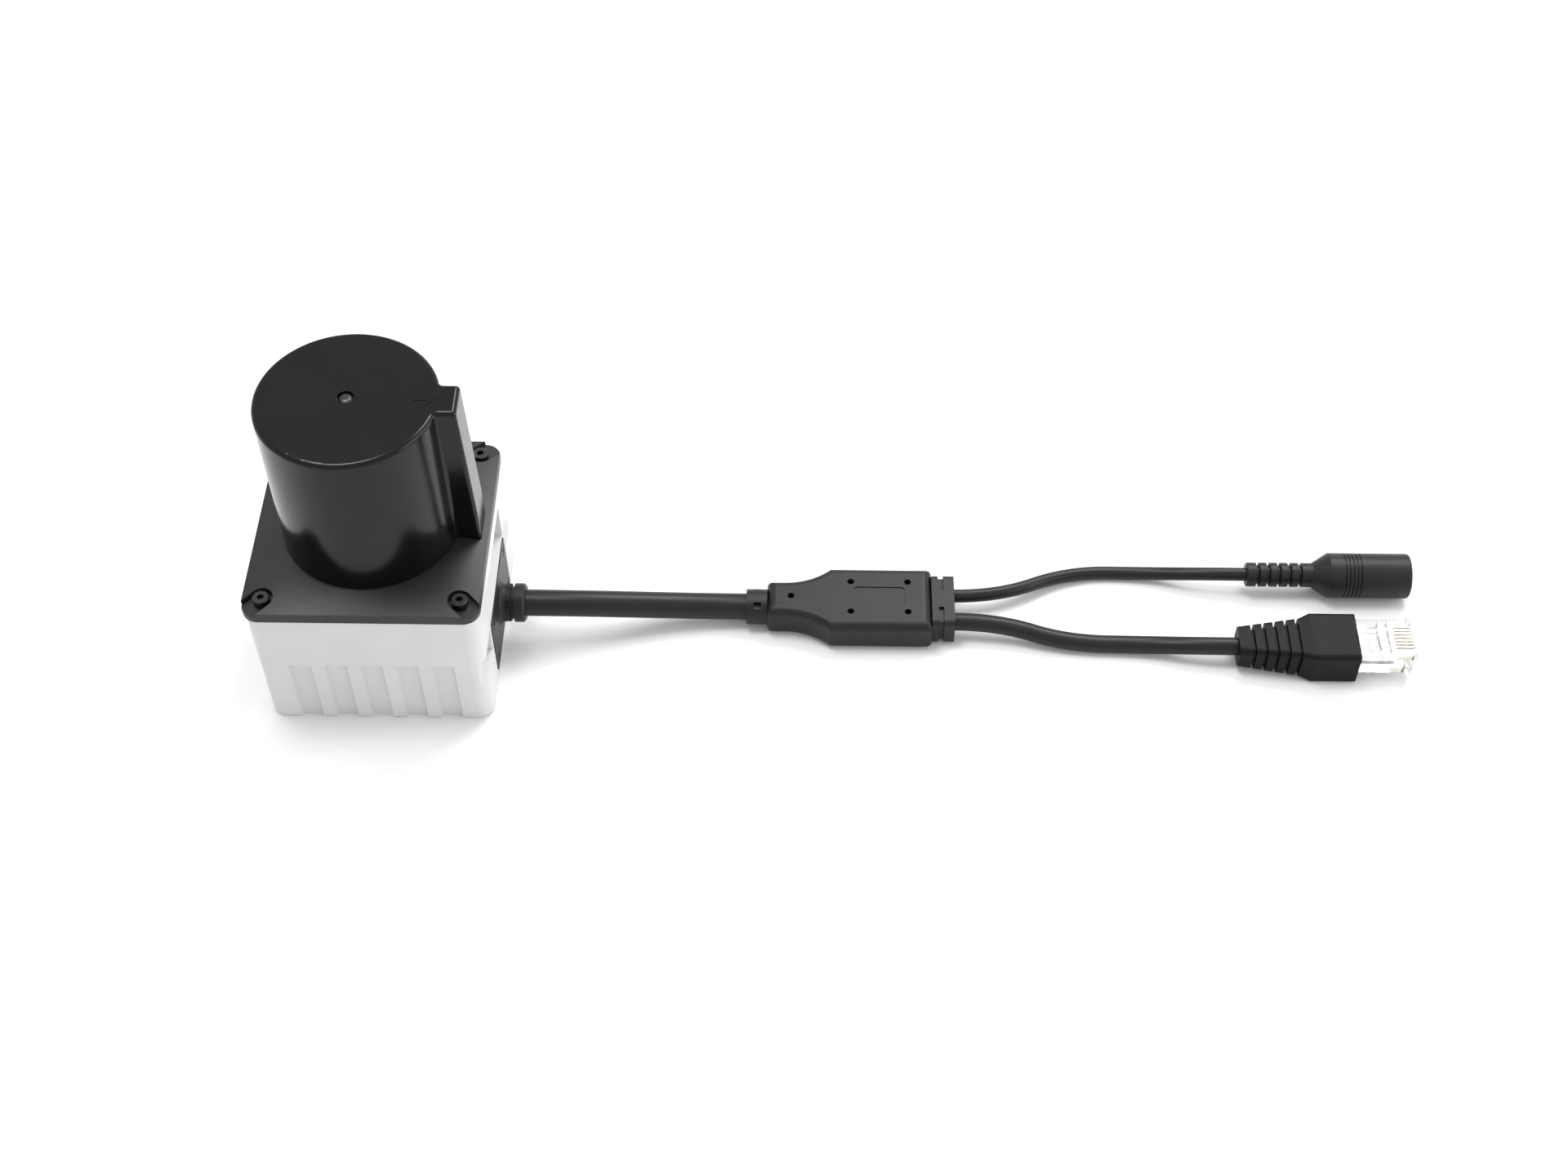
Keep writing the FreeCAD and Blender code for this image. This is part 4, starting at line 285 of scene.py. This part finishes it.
def make_materials():
    """One material for each slot of the record."""
    return {
        "white_housing": powder_coat(),
        "seal_rubber": moulded("seal_rubber", grey(0.02), 0.7, 0.2),
        "black_cover_plate": cover_coat(),
        "black_steel_screws": metal("black_oxide", grey(0.055), 0.38, (1, 1, 1)),
        "window_gloss_black": window_gloss(),
        "black_satin_plastic": moulded("satin_plastic", grey(0.012), 0.44, 0.3, IOR=1.4),
        "cable_moulding": moulded("cable_moulding", grey(0.009), 0.44, 0.28, 0.010, IOR=1.35),
        "cable_jacket": moulded("cable_jacket", grey(0.009), 0.38, 0.22, 0.004, IOR=1.34),
        "circuit_board": circuit_board(),
        "chip_plastic": moulded("chip_plastic", grey(0.015), 0.5, 0.15),
        "header_plastic": moulded("header_plastic", (0.75, 0.72, 0.62), 0.5),
        "brass_parts": metal("brass", (0.80, 0.58, 0.26), 0.30),
        "steel_parts": metal("steel", (0.62, 0.62, 0.62), 0.28),
        "aluminium_parts": metal("aluminium", (0.78, 0.79, 0.80), 0.38, (1, 1, 6)),
        "stator_steel": metal("lamination_stack", (0.32, 0.32, 0.33), 0.45, (1, 1, 30)),
        "copper_wire": copper(),
        "magnet_black": moulded("sintered_magnet", grey(0.05), 0.35, 0.12),
        "encoder_steel": metal("encoder_steel", (0.5, 0.5, 0.5), 0.2),
        "inner_black_plastic": moulded("inner_plastic", grey(0.02), 0.55),
        "mirror_glass": mirror(),
        "lens_glass": glass("lens_glass", (0.90, 0.93, 0.98), 0.01),
        "flex_film": moulded("polyimide_film", (0.50, 0.20, 0.03), 0.3, 0.8, 0.003),
        "boot_rubber": moulded("boot_rubber", grey(0.004), 0.5, 0.26, 0.009, IOR=1.24),
        "clear_plug_plastic": clear_plastic(),
        "gold_contacts": metal("gold_plating", (0.80, 0.72, 0.55), 0.25),
        "wire_insulation": moulded("wire_insulation", (0.50, 0.49, 0.46), 0.4, 0.3, 0.004, 0.25),
    }


def dress(materials):
    """Every CAD node takes the material of its own slot."""
    for part in frame["record"]["subparts"]:
        piece = frame["nodes"][part["node"]]
        material = materials[part["material_slot"]]
        for slot in piece.material_slots:
            slot.material = material


# ---------------------------------------------------------------- pieces
def cord_piece(name, route, diameter, material):
    """A smooth round cord whose control points are its route."""
    curve = bpy.data.curves.new(name, "CURVE")
    curve.dimensions = "3D"
    curve.bevel_depth = diameter / 2
    curve.bevel_resolution = 10
    curve.resolution_u = 32
    curve.use_fill_caps = True
    spline = curve.splines.new("NURBS")
    spline.points.add(len(route) - 1)
    for point, place in zip(spline.points, route):
        point.co = (*place, 1.0)
    spline.order_u = 3
    spline.use_endpoint_u = True
    curve.materials.append(material)
    piece = bpy.data.objects.new(name, curve)
    bpy.context.scene.collection.objects.link(piece)
    return piece


def make_cords(materials):
    jacket = materials["cable_jacket"]
    cords = [
        ("main_cord", "main_cable", MAIN_ROUTE, MAIN_D, MAIN_LENGTH, "fitting",
         ["strain_relief", "splitter_inlet", "splitter_body", "splitter_outlet"]),
        ("dc_cord", "dc_cable", DC_ROUTE, DC_D, DC_LENGTH, "connector",
         ["jack_relief", "jack_body", "jack_liner", "jack_pin"]),
        ("network_cord", "network_cable", NET_ROUTE, NET_D, NET_LENGTH, "plug",
         ["plug_boot", "network_plug", "plug_contacts", "plug_wires", "plug_latch"]),
    ]
    for name, node, route, diameter, length, far_end, on_it in cords:
        piece = cord_piece(name, route, diameter, jacket)
        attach(piece, "scanner")
        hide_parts(node)


# ---------------------------------------------------------------- stage, light, camera
def make_floor():
    """Plain pale sheet under everything."""
    mesh = bpy.data.meshes.new("floor")
    h = FLOOR_HALF
    mesh.from_pydata([(-h, -h, 0), (h, -h, 0), (h, h, 0), (-h, h, 0)], [], [(0, 1, 2, 3)])
    floor = bpy.data.objects.new("floor", mesh)
    bpy.context.scene.collection.objects.link(floor)
    finish = Finish("floor_paper")
    fibre = finish.noise(2.0, 3.0)
    finish.colours(fibre, tuple(c * 0.995 for c in FLOOR_TONE), FLOOR_TONE)
    finish.rough(fibre, 0.8, 0.9)
    mesh.materials.append(finish.material)


def make_sky():
    """Even white studio, a little softer overhead than at eye level."""
    world = bpy.data.worlds.new("studio")
    world.use_nodes = True
    tree = world.node_tree
    background = tree.nodes["Background"]
    place = tree.nodes.new("ShaderNodeTexCoord")
    split = tree.nodes.new("ShaderNodeSeparateXYZ")
    ramp = tree.nodes.new("ShaderNodeValToRGB")
    ramp.color_ramp.elements[0].color = (*grey(SKY_LOW), 1)
    ramp.color_ramp.elements[1].color = (*grey(SKY_HIGH), 1)
    tree.links.new(place.outputs["Generated"], split.inputs["Vector"])
    tree.links.new(split.outputs["Z"], ramp.inputs["Fac"])
    tree.links.new(ramp.outputs["Color"], background.inputs["Color"])
    bpy.context.scene.world = world


def round_light(name, place, diameter, watts):
    """Soft round panel that faces the object."""
    light = bpy.data.lights.new(name, "AREA")
    light.shape = "DISK"
    light.size = diameter
    light.energy = watts
    lamp = bpy.data.objects.new(name, light)
    lamp.location = place
    heading = Vector(LIGHT_AIM) - Vector(place)
    lamp.rotation_euler = heading.to_track_quat("-Z", "Y").to_euler()
    bpy.context.scene.collection.objects.link(lamp)


def make_lights():
    for light in LIGHTS:
        round_light(*light)


def make_camera():
    """Looks down at the object from in front; the turn is about the vertical."""
    down, turn, roll = CAMERA_DOWN, CAMERA_TURN, CAMERA_ROLL
    ahead = Vector((math.sin(turn) * math.cos(down), math.cos(turn) * math.cos(down), -math.sin(down)))
    level = Vector((math.cos(turn), -math.sin(turn), 0))
    above = level.cross(ahead)
    side = level * math.cos(roll) + above * math.sin(roll)
    top = above * math.cos(roll) - level * math.sin(roll)
    data = bpy.data.cameras.new("camera")
    data.lens = CAMERA_LENS
    data.sensor_width = CAMERA_SENSOR
    data.clip_start = 0.01
    camera = bpy.data.objects.new("camera", data)
    turned = Matrix((side, top, -ahead)).transposed().to_4x4()
    camera.matrix_world = Matrix.Translation(CAMERA_PLACE) @ turned
    bpy.context.scene.collection.objects.link(camera)
    bpy.context.scene.camera = camera


def main():
    bpy.context.scene.view_settings.view_transform = "Standard"
    materials = make_materials()
    dress(materials)
    make_cords(materials)
    make_floor()
    make_sky()
    make_lights()
    make_camera()


main()
